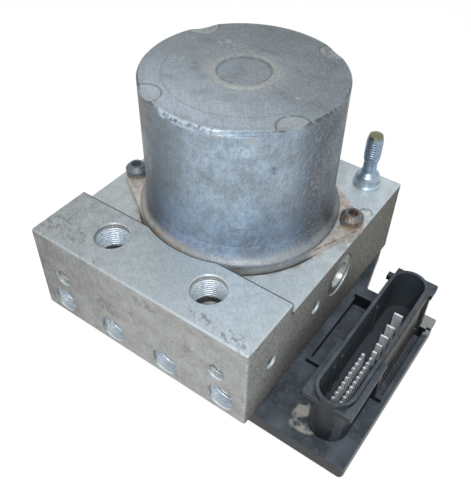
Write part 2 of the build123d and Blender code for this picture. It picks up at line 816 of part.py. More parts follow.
def make_ecu_gasket():
    """Flat seal between the housing and the block's underside."""
    x0, x1, y0, y1 = left + 4.0, right - 3.0, front + 14.0, back - 10.3
    outer = Pos((x0 + x1) / 2, (y0 + y1) / 2) * RectangleRounded(x1 - x0, y1 - y0, 3.0)
    inner = Pos((x0 + x1) / 2, (y0 + y1) / 2) * Rectangle(x1 - x0 - 5, y1 - y0 - 5)
    return slab(outer - inner, z_housing, z_block)


def make_ecu_screws():
    """Six-sided screws that hold the control unit up against the block."""
    plate = z_housing - wall
    screw = slab(RegularPolygon(3.0, 6), plate - 2.8, plate - seat_gap)
    screw += rod(ecu_screw_radius, plate - seat_gap, z_block + 10)
    return group([Pos(x, y, 0) * screw for x, y in ecu_screw_places])


def make_circuit_board():
    return slab(box_plan(wall + 0.6), board_top - board_thickness, board_top)


def make_board_chips():
    """Processor, valve driver and motor switch on the board."""
    sizes = ((right + 6.3, 4.0, 7.0, 7.0, 1.6), (right + 6.3, -30.0, 5.0, 5.0, 1.4),
             (30.0, 22.0, 6.0, 4.5, 4.0), (-28.0, 20.0, 5.5, 5.5, 1.4))
    return group([
        box(x - a, x + a, y - b, y + b, board_top + seat_gap, board_top + seat_gap + high)
        for x, y, a, b, high in sizes
    ])


def make_capacitors():
    """Upright capacitors beside the connector."""
    return group([
        rod(4.0, board_top + seat_gap, board_top + 11.0, right + 9.3, y) for y in (-18.0, -9.0)
    ])


def make_signal_pins():
    """Signal contacts, from the board up through the socket's floor."""
    low = board_top + seat_gap
    tip = z_block + pin_tip
    pin = box(-pin_width / 2, pin_width / 2, -pin_thickness / 2, pin_thickness / 2, low, tip)
    pin = chamfer(pin.faces().sort_by(Axis.Z)[-1].edges(), 0.25)
    return group([Pos(x, y, 0) * pin for x, y in pin_places])


def make_power_blades():
    """Wide contacts for the motor and valve supply, larger towards the back."""
    low = board_top + seat_gap
    half = pin_thickness / 2
    contacts = []
    for y, width, tip in blades:
        blade = box(blade_x - width / 2, blade_x + width / 2, y - half, y + half, low, z_block + tip)
        contacts.append(chamfer(blade.faces().sort_by(Axis.Z)[-1].edges(), 0.3))
    return group(contacts)


# ---- the pieces ----------------------------------------------------------------------------
pieces = {
    "valve_block": make_valve_block(),
    "ball_plugs": make_ball_plugs(),
    "mounting_stud": make_mounting_stud(),
    "inlet_valves": make_valves(0, 3.4),
    "outlet_valves": make_valves(1, 2.9),
    "valve_coils": make_coils(),
    "coil_yokes": make_yokes(),
    "motor_flange": make_motor_flange(),
    "motor_can": make_motor_can(),
    "motor_screws": make_motor_screws(),
    "motor_magnets": make_magnets(),
    "brush_holder": make_brush_holder(),
    "brushes": make_brushes(),
    "brush_springs": make_brush_springs(),
    "lower_bearing": make_lower_bearing(),
    "top_bush": make_top_bush(),
    "motor_shaft": make_motor_shaft(),
    "eccentric_ring": make_eccentric_ring(),
    "armature_core": make_armature_core(),
    "armature_windings": make_windings(),
    "commutator": make_commutator(),
    "terminal_post": make_terminal_post(),
    "terminal_blades": make_terminal_blades(),
    "ecu_housing": make_ecu_housing(),
    "ecu_cover": make_ecu_cover(),
    "ecu_gasket": make_ecu_gasket(),
    "ecu_screws": make_ecu_screws(),
    "circuit_board": make_circuit_board(),
    "board_chips": make_board_chips(),
    "capacitors": make_capacitors(),
    "signal_pins": make_signal_pins(),
    "power_blades": make_power_blades(),
}
for name, side in (("right", 1), ("left", -1)):
    pieces[f"pump_plug_{name}"] = make_pump_plug(side)
    pieces[f"pump_cylinder_{name}"] = make_pump_cylinder(side)
    pieces[f"pump_piston_{name}"] = make_pump_piston(side)
    pieces[f"pump_spring_{name}"] = make_pump_spring(side)
for name, x in zip(("left", "right"), accumulator_x):
    pieces[f"accumulator_piston_{name}"] = make_accumulator_piston(x)
    pieces[f"accumulator_seal_{name}"] = make_accumulator_seal(x)
    pieces[f"accumulator_cap_{name}"] = make_accumulator_cap(x)
    pieces[f"accumulator_spring_{name}"] = make_accumulator_spring(x)

os.makedirs("parts", exist_ok=True)
for name, shape in pieces.items():
    export_step(shape, f"parts/{name}.step")
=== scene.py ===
# %% [markdown]
# # The hydraulic unit of an anti-lock brake
#
# A drilled aluminium block carries a pump motor on top and an electronic control unit below.
# It has spent years under a bonnet: the aluminium has a dull skin of oxide and dirt, the zinc
# on the motor has gone chalky blue-grey, and rust creeps out of the seam at its foot.
# The shapes come packed from the solid model, already at their real size, so the work here is
# what the eye sees: finishes, wear, screw threads, light and a camera.

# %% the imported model
from math import cos, pi, radians, sin

import bmesh
import bpy
from mathutils import Matrix, Vector, noise


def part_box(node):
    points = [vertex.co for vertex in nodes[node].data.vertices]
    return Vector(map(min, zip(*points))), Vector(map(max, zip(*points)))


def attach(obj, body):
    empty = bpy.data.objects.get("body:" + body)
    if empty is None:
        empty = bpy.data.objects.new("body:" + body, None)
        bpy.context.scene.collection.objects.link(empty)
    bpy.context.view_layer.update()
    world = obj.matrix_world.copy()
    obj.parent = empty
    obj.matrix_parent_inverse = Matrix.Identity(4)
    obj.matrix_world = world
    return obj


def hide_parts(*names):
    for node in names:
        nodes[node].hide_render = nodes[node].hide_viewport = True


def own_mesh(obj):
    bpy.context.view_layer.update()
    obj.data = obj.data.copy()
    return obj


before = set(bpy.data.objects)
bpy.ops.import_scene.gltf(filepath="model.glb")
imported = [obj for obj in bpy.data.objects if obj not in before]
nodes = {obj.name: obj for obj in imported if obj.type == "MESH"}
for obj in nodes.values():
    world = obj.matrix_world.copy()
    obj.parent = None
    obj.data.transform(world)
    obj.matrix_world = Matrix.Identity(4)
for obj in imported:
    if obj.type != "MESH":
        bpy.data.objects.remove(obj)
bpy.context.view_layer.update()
MM = 0.001

# %% [markdown]
# ## Where things are
#
# Wear follows the shape, so the stains, scratches and rust below are placed from the boxes of
# the pieces that carry them, and from a few sizes of the solid model that no box shows. All the
# places are in millimetres, in the model's own frame: the motor's axis is at x = 0, y = 0, the
# wheel ports face -y and the plug connector is on +x.

# %% sides and levels
def box_mm(name):
    """Lowest and highest corner of a solid piece, in millimetres."""
    low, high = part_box(name)
    return [v / MM for v in low], [v / MM for v in high]


(block_left, block_front, block_foot), (block_right, block_back, land_top) = box_mm("valve_block")
flange_top = box_mm("motor_flange")[1][2]
(_, _, can_foot), (can_edge, _, can_bead) = box_mm("motor_can")
shroud_top = box_mm("ecu_housing")[1][2]
flange_thickness, flange_edge, pocket_gap = 3.0, 36.3, 0.5
bead_height, lip_width = 0.45, 1.4
land_depth, gasket = 24.7, 0.8

motor_face = flange_top - flange_thickness
can_top = can_bead - bead_height
can_radius = can_edge - lip_width
block_middle = (block_left + block_right) / 2
land_back = block_front + land_depth
pocket_radius = flange_edge + pocket_gap
plate_top = block_foot - gasket
master_ports = [(block_middle + side * 20.4, block_front + 14.0) for side in (-1, 1)]
wheel_ports = [(block_middle + (i - 1.5) * 23.5, block_foot + 7.4) for i in range(4)]
bracket_holes = [(block_middle + side * 33.4, block_foot + 20.0) for side in (-1, 1)]
pump_level = block_foot + 21.2
stud_x, stud_y = 32.5, 38.4
print("block", round(block_right - block_left, 1), "by", round(block_back - block_front, 1), "mm")

# %% [markdown]
# ## Colour
#
# Colours are written as the hex values that a screen shows. The shader wants light, not screen
# values, so one function turns each pair of digits to its linear amount.

# %% hex colours
def colour(code):
    """Linear RGBA of an sRGB hex colour."""
    parts = [int(code[i:i + 2], 16) / 255 for i in (1, 3, 5)]
    linear = [p / 12.92 if p <= 0.04045 else ((p + 0.055) / 1.055) ** 2.4 for p in parts]
    return (*linear, 1.0)


print("mid grey", [round(v, 3) for v in colour("#808080")])

# %% [markdown]
# ## Building materials from nodes
#
# A finish is a small network of nodes. One function adds a node with its settings, and the one
# above it fills inputs, either with a number or with a link from another node. Where something
# fades along a length, a single Map Range node does it, from 0 at its From Min to 1 at its From
# Max, and Math and Mix nodes do the rest.

# %% inputs and nodes
def fill(tree, node, inputs):
    """Sets inputs to numbers, or links them to an output. A node stands for its first output."""
    for name, value in inputs.items():
        if isinstance(value, bpy.types.Node):
            value = value.outputs[0]
        if isinstance(value, bpy.types.NodeSocket):
            tree.links.new(value, node.inputs[name])
        else:
            node.inputs[name].default_value = value


def add(tree, kind, inputs=None, **settings):
    """Adds a shader node, sets its settings and fills its inputs."""
    made = tree.nodes.new("ShaderNode" + kind)
    for name, value in settings.items():
        setattr(made, name, value)
    fill(tree, made, inputs or {})
    return made


print("every node below is added by one function")

# %% [markdown]
# ## Masks
#
# A mask is a number from 0 to 1 at every point of a surface, and says how much of a coat lies
# there. Noise makes the ragged ones. A window or a spot makes those that belong to a place. Masks
# are multiplied where both have to hold, and the larger one is taken where either will do.

# %% masks
def grain(tree, size, low=0.35, high=0.65, stretch=(1, 1, 1), turn=(0, 0, 0), detail=4.0, shift=0.0):
    """Mask of noise whose features are about size millimetres, drawn out along the axes by stretch."""
    place = add(tree, "TexCoord").outputs["Object"]
    turned = add(tree, "Mapping", {"Vector": place, "Rotation": turn, "Location": (shift, shift, shift)})
    scale = [1 / (size * MM * s) for s in stretch]
    drawn = add(tree, "Mapping", {"Vector": turned, "Scale": scale})
    clouds = add(tree, "TexNoise", {"Vector": drawn, "Scale": 1.0, "Detail": detail})
    return add(tree, "MapRange", {"Value": clouds, "From Min": low, "From Max": high})


def window(tree, value, low, high, soft):
    """1 where value lies from low to high, fading out over soft on both sides."""
    rise = add(tree, "MapRange", {"Value": value, "From Min": low - soft, "From Max": low},
               interpolation_type="SMOOTHSTEP")
    fall = add(tree, "MapRange", {"Value": value, "From Min": high, "From Max": high + soft,
                                  "To Min": 1.0, "To Max": 0.0}, interpolation_type="SMOOTHSTEP")
    return add(tree, "Math", {0: rise, 1: fall}, operation="MULTIPLY")


def product(tree, *masks):
    """All the masks at once. A plain number among them makes them weaker."""
    result = masks[0]
    for mask in masks[1:]:
        result = add(tree, "Math", {0: result, 1: mask}, operation="MULTIPLY")
    return result


def anywhere(tree, *masks):
    """Any of the masks."""
    result = masks[0]
    for mask in masks[1:]:
        result = add(tree, "Math", {0: result, 1: mask}, operation="MAXIMUM")
    return result


def spot(tree, centre, reach):
    """1 at a place, falling to 0 at its reach along x, y and z, both in millimetres."""
    place = add(tree, "TexCoord").outputs["Object"]
    near = add(tree, "VectorMath", {0: place, 1: [c * MM for c in centre]}, operation="SUBTRACT")
    scaled = add(tree, "VectorMath", {0: near, 1: [r * MM for r in reach]}, operation="DIVIDE")
    distance = add(tree, "VectorMath", {0: scaled}, operation="LENGTH").outputs["Value"]
    return add(tree, "MapRange", {"Value": distance, "From Min": 1.0, "From Max": 0.25},
               interpolation_type="SMOOTHSTEP")


print("masks ready")

# %% [markdown]
# ## Where a point lies
#
# Wear belongs to a place and a direction. Texture Coordinate's Object output gives the one and
# its Normal output the other, and both stay with the piece when it moves.

# %% places and directions
def whereabouts(tree):
    """The surface's x, y, z and distance from the motor's axis, in millimetres, and its angle round it."""
    place = add(tree, "TexCoord").outputs["Object"]
    metres = add(tree, "VectorMath", {0: place, "Scale": 1 / MM}, operation="SCALE")
    x, y, z = add(tree, "SeparateXYZ", {0: metres}).outputs
    flat = add(tree, "CombineXYZ", {"X": x, "Y": y})
    r = add(tree, "VectorMath", {0: flat}, operation="LENGTH").outputs["Value"]
    turn = add(tree, "Math", {0: y, 1: x}, operation="ARCTAN2")
    angle = add(tree, "Math", {0: turn}, operation="DEGREES")
    return x, y, z, r, angle


def facing(tree):
    """How far the surface faces +x, +y and +z, from -1 to 1."""
    normal = add(tree, "TexCoord").outputs["Normal"]
    return add(tree, "SeparateXYZ", {0: normal}).outputs


def corners(tree):
    """1 on chamfers and rounded corners, where the surface faces none of the six main sides squarely."""
    sides = [add(tree, "Math", {0: v}, operation="ABSOLUTE") for v in facing(tree)]
    squarely = anywhere(tree, *sides)
    return add(tree, "MapRange", {"Value": squarely, "From Min": 0.985, "From Max": 0.90})


print("places and directions ready")

# %% [markdown]
# ## Coats, bumps and paint
#
# A material here is a Principled shader whose base colour is a pile of coats. Bumps are too small
# for geometry, so a Bump node tilts the light on them. Under it a Bevel node rounds the solid
# model's sharp edges for the light only, which is what makes machined and pressed edges glint.

# %% coats, bumps and paint
def coats(tree, base, *layers):
    """Lays each coat over what is under it, by its mask and amount, from a hex colour or a link."""
    under = colour(base) if isinstance(base, str) else base
    for mask, amount, coat in layers:
        over = colour(coat) if isinstance(coat, str) else coat
        share = mask if amount == 1 else product(tree, mask, amount)
        under = add(tree, "Mix", {0: share, 6: under, 7: over}, data_type="RGBA").outputs[2]
    return under


def finish(name, metallic, roughness):
    """A new material, with its node tree and its main shader."""
    made = bpy.data.materials.new(name)
    made.use_nodes = True
    tree = made.node_tree
    shader = tree.nodes["Principled BSDF"]
    fill(tree, shader, {"Metallic": metallic, "Roughness": roughness})
    return made, tree, shader


def relief(tree, shader, height, depth, edge=0.25):
    """Bumps of that depth in millimetres, over edges that look rounded by edge millimetres."""
    soft = add(tree, "Bevel", {"Radius": edge * MM}, samples=4)
    bump = add(tree, "Bump", {"Height": height, "Distance": depth * MM, "Strength": 1.0, "Normal": soft})
    fill(tree, shader, {"Normal": bump})


def paint(material, *names):
    """Gives a material to solid pieces."""
    for name in names:
        piece = nodes[name]
        if not piece.material_slots:
            piece.data.materials.append(material)
        for place in piece.material_slots:
            place.link = "OBJECT"
            place.material = material


print("coats ready")

# %% [markdown]
# ## Machined aluminium, dulled
#
# The block is sawn from extruded aluminium bar and machined on every side. New, it would be
# bright. Years of oxide leave it matt and a little blue, so part of what the eye sees is no
# longer metal: the metallic value is well under 1. The top was cleaned by hands and tools, and
# the sides kept a brown film of dust and oil. The sides are also painted darker than the top, and
# that part of their darkness is painted shade. Cutter marks are a tenth of a millimetre apart, too
# fine to show, so they are drawn coarser.

# %% valve block: patterns
aluminium, tree, shader = finish("machined aluminium, oxidised", 0.35, 0.40)
x, y, z, r, angle = whereabouts(tree)
east, north, up = facing(tree)

cutter_path = (0, 0, radians(35))
cutter_marks = grain(tree, 0.5, 0.35, 0.7, stretch=(40, 1, 40), turn=cutter_path, detail=2.0)
side_marks = grain(tree, 0.45, 0.40, 0.7, stretch=(1, 1, 9), detail=4.0, shift=3.0)
scratches = grain(tree, 0.28, 0.66, 0.70, stretch=(50, 1, 50), turn=(0, 0, radians(-50)), shift=5.0)
cloud = grain(tree, 20.0, 0.38, 0.64)
mottle = grain(tree, 3.6, 0.40, 0.66, detail=6.0)
speckle = grain(tree, 0.7, 0.50, 0.62, detail=3.0, shift=7.0)
glint = grain(tree, 0.6, 0.56, 0.66, detail=2.0, shift=13.0)
fine_wear = grain(tree, 0.55, 0.40, 0.62, stretch=(2.5, 1, 2.5), turn=cutter_path, detail=5.0, shift=17.0)
pits = grain(tree, 1.1, 0.63, 0.69, detail=3.0, shift=11.0)

is_top = window(tree, up, 0.6, 2.0, 0.15)
is_front = window(tree, north, -2.0, -0.6, 0.15)
is_right = window(tree, east, 0.6, 2.0, 0.15)
is_land = window(tree, z, land_top - 2.0, land_top + 1.0, 1.0)
is_land_side = spot(tree, (block_middle, block_front + 14.0, land_top - 12.0), (60.0, 11.0, 16.0))
along = add(tree, "MapRange", {"Value": x, "From Min": block_left, "From Max": block_right})
to_back = add(tree, "MapRange", {"Value": y, "From Min": block_front, "From Max": block_back})
to_left = add(tree, "MapRange", {"Value": x, "From Min": 5.0, "From Max": block_left})
print("block patterns mixed")

# %% [markdown]
# Each side of the block gets its own coats, because each had its own life. The masks are the
# direction that the surface faces and the place on the block. Stains and smudges are spots at
# fixed places, since they happened once, and noise breaks their edges. First comes the top, with
# its raised land and the lower floor round the motor.

# %% valve block: dirt and painted shadow lines of the top
stains = [
    # place on the land, reach, both along x and y
    ((-41.5, -50.5), (8.5, 8.5)), ((-31.4, -51.9), (6.0, 5.0)), ((-27.0, -42.0), (6.0, 4.0)),
    ((36.0, -55.5), (8.0, 3.6)), ((41.0, -57.5), (4.0, 2.4)), ((-20.0, -57.2), (5.0, 1.8)),
    ((24.0, -55.0), (6.0, 2.4)),
]
stained = anywhere(tree, *[spot(tree, (a, b, land_top), (w, h, 2.5)) for (a, b), (w, h) in stains])
specks = grain(tree, 1.5, 0.50, 0.60, stretch=(1.5, 1, 1.5), turn=cutter_path, detail=6.0, shift=31.0)
stain_core = add(tree, "MapRange", {"Value": stained, "From Max": 0.6})
# painted shadow lines on the walls at the back of the raised land and round the motor's pocket
ring_shadow = window(tree, r, pocket_radius - 0.4, pocket_radius + 0.25, 0.2)
ledge_shadow = window(tree, y, land_back - 0.3, land_back + 0.8, 0.2)
flange_dirt = product(tree, window(tree, r, 34.0, 36.9, 2.2), mottle)
near_ear = spot(tree, (42.0, 10.0, motor_face), (12.0, 14.0, 4.0))
spotface = spot(tree, (stud_x, stud_y, motor_face), (12.5, 12.5, 4.0))
print(len(stains), "stains placed")

# %% valve block: coats of the top
land_colour = coats(
    tree, "#8f9698",
    (along, 1, "#c6d3dc"),
    (cloud, 0.30, "#a7b0b3"),
    (cutter_marks, 0.30, "#c9d3d8"),
    (scratches, 0.35, "#6d7373"),
    (mottle, 0.22, "#8d9188"),
    (fine_wear, 0.26, "#858c8e"),
    (glint, 0.30, "#d6dfe4"),
    (product(tree, to_left, mottle), 0.35, "#7d8077"),
    (product(tree, stain_core, specks), 0.55, "#6b604f"))
floor_colour = coats(
    tree, "#b4bdbf",
    (along, 1, "#cbd8df"),
    (mottle, 0.30, "#999b92"),
    (fine_wear, 0.26, "#8a9092"),
    (glint, 0.25, "#d9e0e3"),
    (scratches, 0.3, "#6e716d"),
    (flange_dirt, 0.7, "#7d776b"),
    (product(tree, near_ear, mottle), 0.6, "#857f74"),
    (spotface, 0.55, "#c9d2d6"))
top_colour = coats(tree, floor_colour, (is_land, 1, land_colour))
print("top coloured")

# %% [markdown]
# The upright sides are darker than the top, partly from dirt, which settled on them unevenly, and
# partly as painted shade. The front is darkest at its left end. The right side is darkest at its
# foot and towards the back. The left and the back, far from both, share one even film.

# %% valve block: dirt and darkening of the upright sides
from_left = add(tree, "MapRange", {"Value": x, "From Min": block_left - 6.0, "From Max": block_left + 46.0})
to_foot = add(tree, "MapRange", {"Value": z, "From Min": block_foot + 18.0, "From Max": block_foot})
brown_cloud = grain(tree, 9.0, 0.42, 0.62, stretch=(1.6, 1, 1), detail=5.0, shift=21.0)
pale_cloud = grain(tree, 7.0, 0.48, 0.64, stretch=(1.6, 1, 1), detail=5.0, shift=27.0)
smudges = [
    # place on the front, reach, both along x and z
    ((-40.8, 46.5), (5.0, 6.0)), ((-2.8, 48.3), (2.2, 5.0)), ((4.7, 57.1), (7.0, 3.0)),
    ((-14.0, 43.0), (6.0, 5.0)), ((22.2, 47.7), (3.4, 5.0)), ((31.9, 47.9), (2.4, 5.0)),
]
smudged = anywhere(tree, *[spot(tree, (a, block_front, b), (w, 3.0, h)) for (a, b), (w, h) in smudges])
smudge_core = add(tree, "MapRange", {"Value": smudged, "From Max": 0.5})
print(len(smudges), "smudges placed")

# %% valve block: coats of the upright sides
# darker base colours of the sides: partly dirt, partly painted shade
front_colour = coats(
    tree, "#464745",
    (from_left, 1, "#9fa2a0"),
    (brown_cloud, 0.40, "#82796e"),
    (pale_cloud, 0.35, "#b6bab9"),
    (side_marks, 0.35, "#b0b3b1"),
    (mottle, 0.30, "#777772"),
    (speckle, 0.16, "#74746f"),
    (glint, 0.22, "#c3c7c6"),
    (pits, 0.5, "#5c5b55"),
    (product(tree, smudge_core, fine_wear, mottle), 0.65, "#4a4238"))
right_colour = coats(
    tree, "#a9acaa",
    (to_back, 1, "#4a4231"),
    (cloud, 0.40, "#6d6e6b"),
    (to_foot, 0.75, "#464542"),
    (speckle, 0.60, "#54514a"),
    (side_marks, 0.25, "#7f7f7a"),
    (glint, 0.45, "#c3c3bb"))
other_sides = coats(
    tree, "#84888a",
    (brown_cloud, 0.45, "#756c60"),
    (pale_cloud, 0.40, "#a9adac"),
    (side_marks, 0.30, "#9a9d9b"),
    (mottle, 0.35, "#696963"),
    (pits, 0.6, "#4d4c47"))
print("sides coloured")

# %% [markdown]
# The chamfers are painted lighter: partly rubbed bright, partly a painted highlight along the edges.
# The ports stayed clean under their caps, and their walls are also painted light, as painted light
# inside the bores. Every inner corner gets a painted shadow line: along the foot of the raised land
# and round the pocket of the motor flange. The drilled passage at the bottom of each port is
# painted shade, only a dark spot, as it is too deep to see into.

# %% valve block: ports and inner corners
# painted shade: a dark spot at the bottom of each port, where the drilled passage is too deep to see into
passage_shade = [spot(tree, (a, block_front + 13.5, b), (2.9, 3.2, 2.9)) for a, b in wheel_ports]
passage_shade += [spot(tree, (a, b, land_top - 15.0), (3.4, 3.4, 3.6)) for a, b in master_ports]
passage_shade += [spot(tree, (a, block_front + 10.5, b), (2.6, 3.5, 2.6)) for a, b in bracket_holes]
bores = [spot(tree, (a, block_front + 6.4, b), (8.0, 8.6, 8.0)) for a, b in wheel_ports]
bores += [spot(tree, (a, b, land_top - 7.6), (9.2, 9.2, 9.8)) for a, b in master_ports]
past_mouth = product(tree, window(tree, y, block_front + 0.5, block_back, 0.2),
                     window(tree, z, 0.0, land_top - 0.5, 0.2))
near_bore = add(tree, "MapRange", {"Value": anywhere(tree, *bores), "From Min": 0.05, "From Max": 0.15})
# the bore walls, which are painted light below, as painted light inside the ports
in_bore = product(tree, near_bore, past_mouth)
deep = product(tree, in_bore, window(tree, z, land_top - 30.0, land_top - 11.0, 1.6), is_land_side)
deep = add(tree, "MapRange", {"Value": deep, "From Max": 0.4})
master_foot = window(tree, z, land_top - 11.5, land_top - 6.5, 3.0)
master_foot = product(tree, master_foot, spot(tree, (*master_ports[1], land_top - 9.0), (8.5, 8.5, 9.0)))
# painted shadow in the inner corners, at the foot of the land and round the motor's pocket
corner_shadow = product(tree, anywhere(tree, ledge_shadow, ring_shadow),
                    window(tree, z, motor_face - 0.2, land_top + 0.1, 0.2))
print(len(bores), "ports found")

# %% valve block: all together
skin = coats(
    tree, other_sides,
    (is_front, 1, front_colour),
    (is_right, 1, right_colour),
    (is_top, 1, top_colour),
    # chamfers painted lighter: partly wear, partly a painted highlight along the edges
    (product(tree, corners(tree), fine_wear), 0.45, "#c8cfd1"),
    # painted light on the bore walls
    (in_bore, 1, "#dbe6ee"),
    (product(tree, in_bore, speckle), 0.40, "#78838c"),
    (deep, 0.85, "#34342a"),
    # painted shadow in the inner corners
    (corner_shadow, 0.92, "#3a352d"),
    (product(tree, master_foot, mottle), 0.9, "#5f5a36"),
    # painted shade in the passages
    (anywhere(tree, *passage_shade), 1, "#17150f"))
clean = anywhere(tree, in_bore, product(tree, is_top, 0.45))
bare = add(tree, "MapRange", {"Value": clean, "To Min": 0.15, "To Max": 0.7})
dull = anywhere(tree, product(tree, mottle, 0.5), product(tree, speckle, 0.6), is_right)
worn = add(tree, "MapRange", {"Value": dull, "To Min": 0.36, "To Max": 0.75})
fill(tree, shader, {"Base Color": skin, "Metallic": bare, "Roughness": worn})
relief(tree, shader, add(tree, "Mix", {0: 0.5, 2: side_marks, 3: mottle}), 0.04, edge=0.3)
paint(aluminium, "valve_block")
print("valve block finished")

# %% [markdown]
# ## The motor can
#
# The can is drawn from sheet steel and zinc-plated. Zinc that sees salt and damp goes dull and
# blue-grey with chalky patches, so less than half of it still mirrors and its metallic value is
# 0.4. Thin coats tell the story: greenish and blue clouds in the zinc, fine vertical lines from
# drawing, slanting rub marks on one side, pale chalk where water stood, and brown dirt that ran
# down to the foot. Light and shade are painted on the wall too: a painted highlight down the front,
# painted shade on both sides and low down by the foot. The lines and rubs are finer than a picture
# can show, so they are drawn coarser. The places of the bigger marks are given by their angle
# round the axis and their height.

# %% sectors of a round wall
def sector(tree, angle, low, high, edge):
    """1 between two angles round the motor's axis, also where they pass half a turn."""
    once_more = window(tree, angle, low + 360.0, high + 360.0, edge)
    return anywhere(tree, window(tree, angle, low, high, edge), once_more)


print("sectors ready")

# %% can wall: patterns
zinc, tree, shader = finish("zinc-plated steel, chalky", 0.40, 0.42)
x, y, z, r, angle = whereabouts(tree)
lid = window(tree, facing(tree)[2], 0.6, 2.0, 0.2)

draw_lines = grain(tree, 0.8, 0.40, 0.7, stretch=(1, 1, 6), detail=5.0)
rub_path = (radians(25), radians(-17), 0)
rubs = grain(tree, 0.30, 0.58, 0.68, stretch=(1, 1, 26), turn=rub_path, detail=3.0, shift=1.0)
green_cloud = grain(tree, 8.0, 0.46, 0.62, detail=7.0, shift=23.0)
blue_cloud = grain(tree, 6.0, 0.50, 0.66, detail=7.0, shift=29.0)
fine_mottle = grain(tree, 1.8, 0.46, 0.60, detail=6.0, shift=37.0)
frost = grain(tree, 0.55, 0.50, 0.60, detail=2.0, shift=12.0)
dust = grain(tree, 0.60, 0.50, 0.60, detail=2.0, shift=19.0)
brushed = grain(tree, 0.40, 0.35, 0.7, stretch=(18, 1, 18), turn=(0, 0, radians(50)), detail=4.0)
chalk = grain(tree, 9.0, 0.46, 0.68, stretch=(1, 1, 1.6), detail=7.0)
chalk_fine = grain(tree, 1.4, 0.52, 0.66, detail=6.0, shift=4.0)
bruise = grain(tree, 6.0, 0.50, 0.70, detail=6.0, shift=9.0)
runs = grain(tree, 2.2, 0.45, 0.7, stretch=(1, 1, 9), detail=4.0, shift=2.0)
print("can patterns mixed")

# %% can wall: sides, foot and rim
# painted shade on both sides of the round wall and a painted highlight down its front
shade_left = sector(tree, angle, -250.0, -122.0, 34.0)
shade_right = window(tree, angle, -8.0, 75.0, 26.0)
bright = window(tree, angle, -74.0, -38.0, 24.0)
rubbed_side = window(tree, angle, -60.0, 30.0, 30.0)
foot = add(tree, "MapRange", {"Value": z, "From Min": can_foot + 20.0, "From Max": can_foot + 3.0})
low = add(tree, "MapRange", {"Value": z, "From Min": can_foot + 26.0, "From Max": can_foot + 6.0})
blue_foot = product(tree, window(tree, angle, -105.0, -25.0, 25.0), low)
# painted shade low on the wall, near the foot on the right and on the left
shaded_foot_right = product(tree, window(tree, angle, -48.0, 10.0, 14.0),
                          window(tree, z, can_foot + 5.0, can_foot + 15.0, 8.0))
shaded_foot_left = product(tree, window(tree, angle, -150.0, -112.0, 14.0),
                         window(tree, z, can_foot + 4.0, can_foot + 13.0, 8.0))
# the band round the rim, worn chalky, and painted with a highlight at its front
rim_wear_and_highlight = product(tree, window(tree, z, can_top - 1.4, can_top + 1.0, 0.9),
                   window(tree, r, can_radius - 0.9, can_radius + 1.0, 0.5))
rim_line = product(tree, window(tree, z, can_top - 0.5, can_top + 1.0, 0.3),
                   window(tree, r, can_radius - 0.5, can_radius + 1.0, 0.3))
rim_dark = product(tree, sector(tree, angle, -200.0, 20.0, 10.0), rim_line, grain(tree, 7.0, 0.36, 0.50))
# painted highlight on the rim's front, broken by grain like chipped wear
rim_highlight = product(tree, window(tree, angle, -100.0, -62.0, 8.0), rim_wear_and_highlight,
                     grain(tree, 1.6, 0.40, 0.55, shift=3.0))
print("sides, foot and rim placed")

# %% can wall: coats
wall_colour = coats(
    tree, "#78858f",
    # painted light and shade: a lighter front, darker sides and a darker foot
    (bright, 0.8, "#aec0d0"),
    (blue_foot, 0.9, "#9cb5d5"),
    (green_cloud, 0.42, "#6a7576"),
    (blue_cloud, 0.40, "#97adc6"),
    (chalk, 0.30, "#a5b2bc"),
    (bruise, 0.28, "#626b6e"),
    (draw_lines, 0.25, "#626c74"),
    (shade_left, 0.85, "#33383a"),
    (shade_right, 0.80, "#32373b"),
    (shaded_foot_right, 0.34, "#3c4757"),
    (shaded_foot_left, 0.36, "#56667e"),
    (frost, 0.16, "#a5b2bd"),
    (dust, 0.24, "#555d61"),
    (fine_mottle, 0.25, "#667177"),
    (product(tree, rubs, rubbed_side), 0.55, "#bcc9d4"),
    (product(tree, foot, runs), 0.35, "#6f6a60"))
marks = [
    # angle and height of its middle, reach along x, y and z, colour
    ((-69.0, 108.0), (2.6, 1.0, 1.6), "#a5a39e"), ((-52.0, 107.6), (2.2, 2.2, 1.6), "#a4a4a2"),
    ((-56.0, 103.6), (7.0, 7.0, 3.2), "#b3c6d5"), ((-39.0, 96.8), (1.6, 1.6, 2.4), "#4d5255"),
    ((-100.0, 84.0), (2.6, 2.6, 1.2), "#5d6366"), ((-120.0, 92.0), (1.5, 1.5, 5.0), "#565c60"),
]
for (turn, height), reach, tint in marks:
    place = (can_radius * cos(radians(turn)), can_radius * sin(radians(turn)), height)
    here = product(tree, spot(tree, place, reach), grain(tree, 1.2, 0.35, 0.55))
    wall_colour = coats(tree, wall_colour, (here, 0.7, tint))
print("can wall mixed, with", len(marks), "marks")

# %% [markdown]
# The lid is the bottom of the same drawn cup. It has a round bead over the shaft's bush, a faint
# turned ring, and four scoops in its rim where the can was staked. The bead and the scoops are
# shapes of the solid model, and the ring is so shallow that a line of colour is enough. Dirt and
# wear follow the distance, from the axis round the bead and from each stake round the scoops,
# and a dark line of painted shade rings each scoop. The lid is painted lighter towards the front
# and darker towards the back and the sides, as painted light and shade.

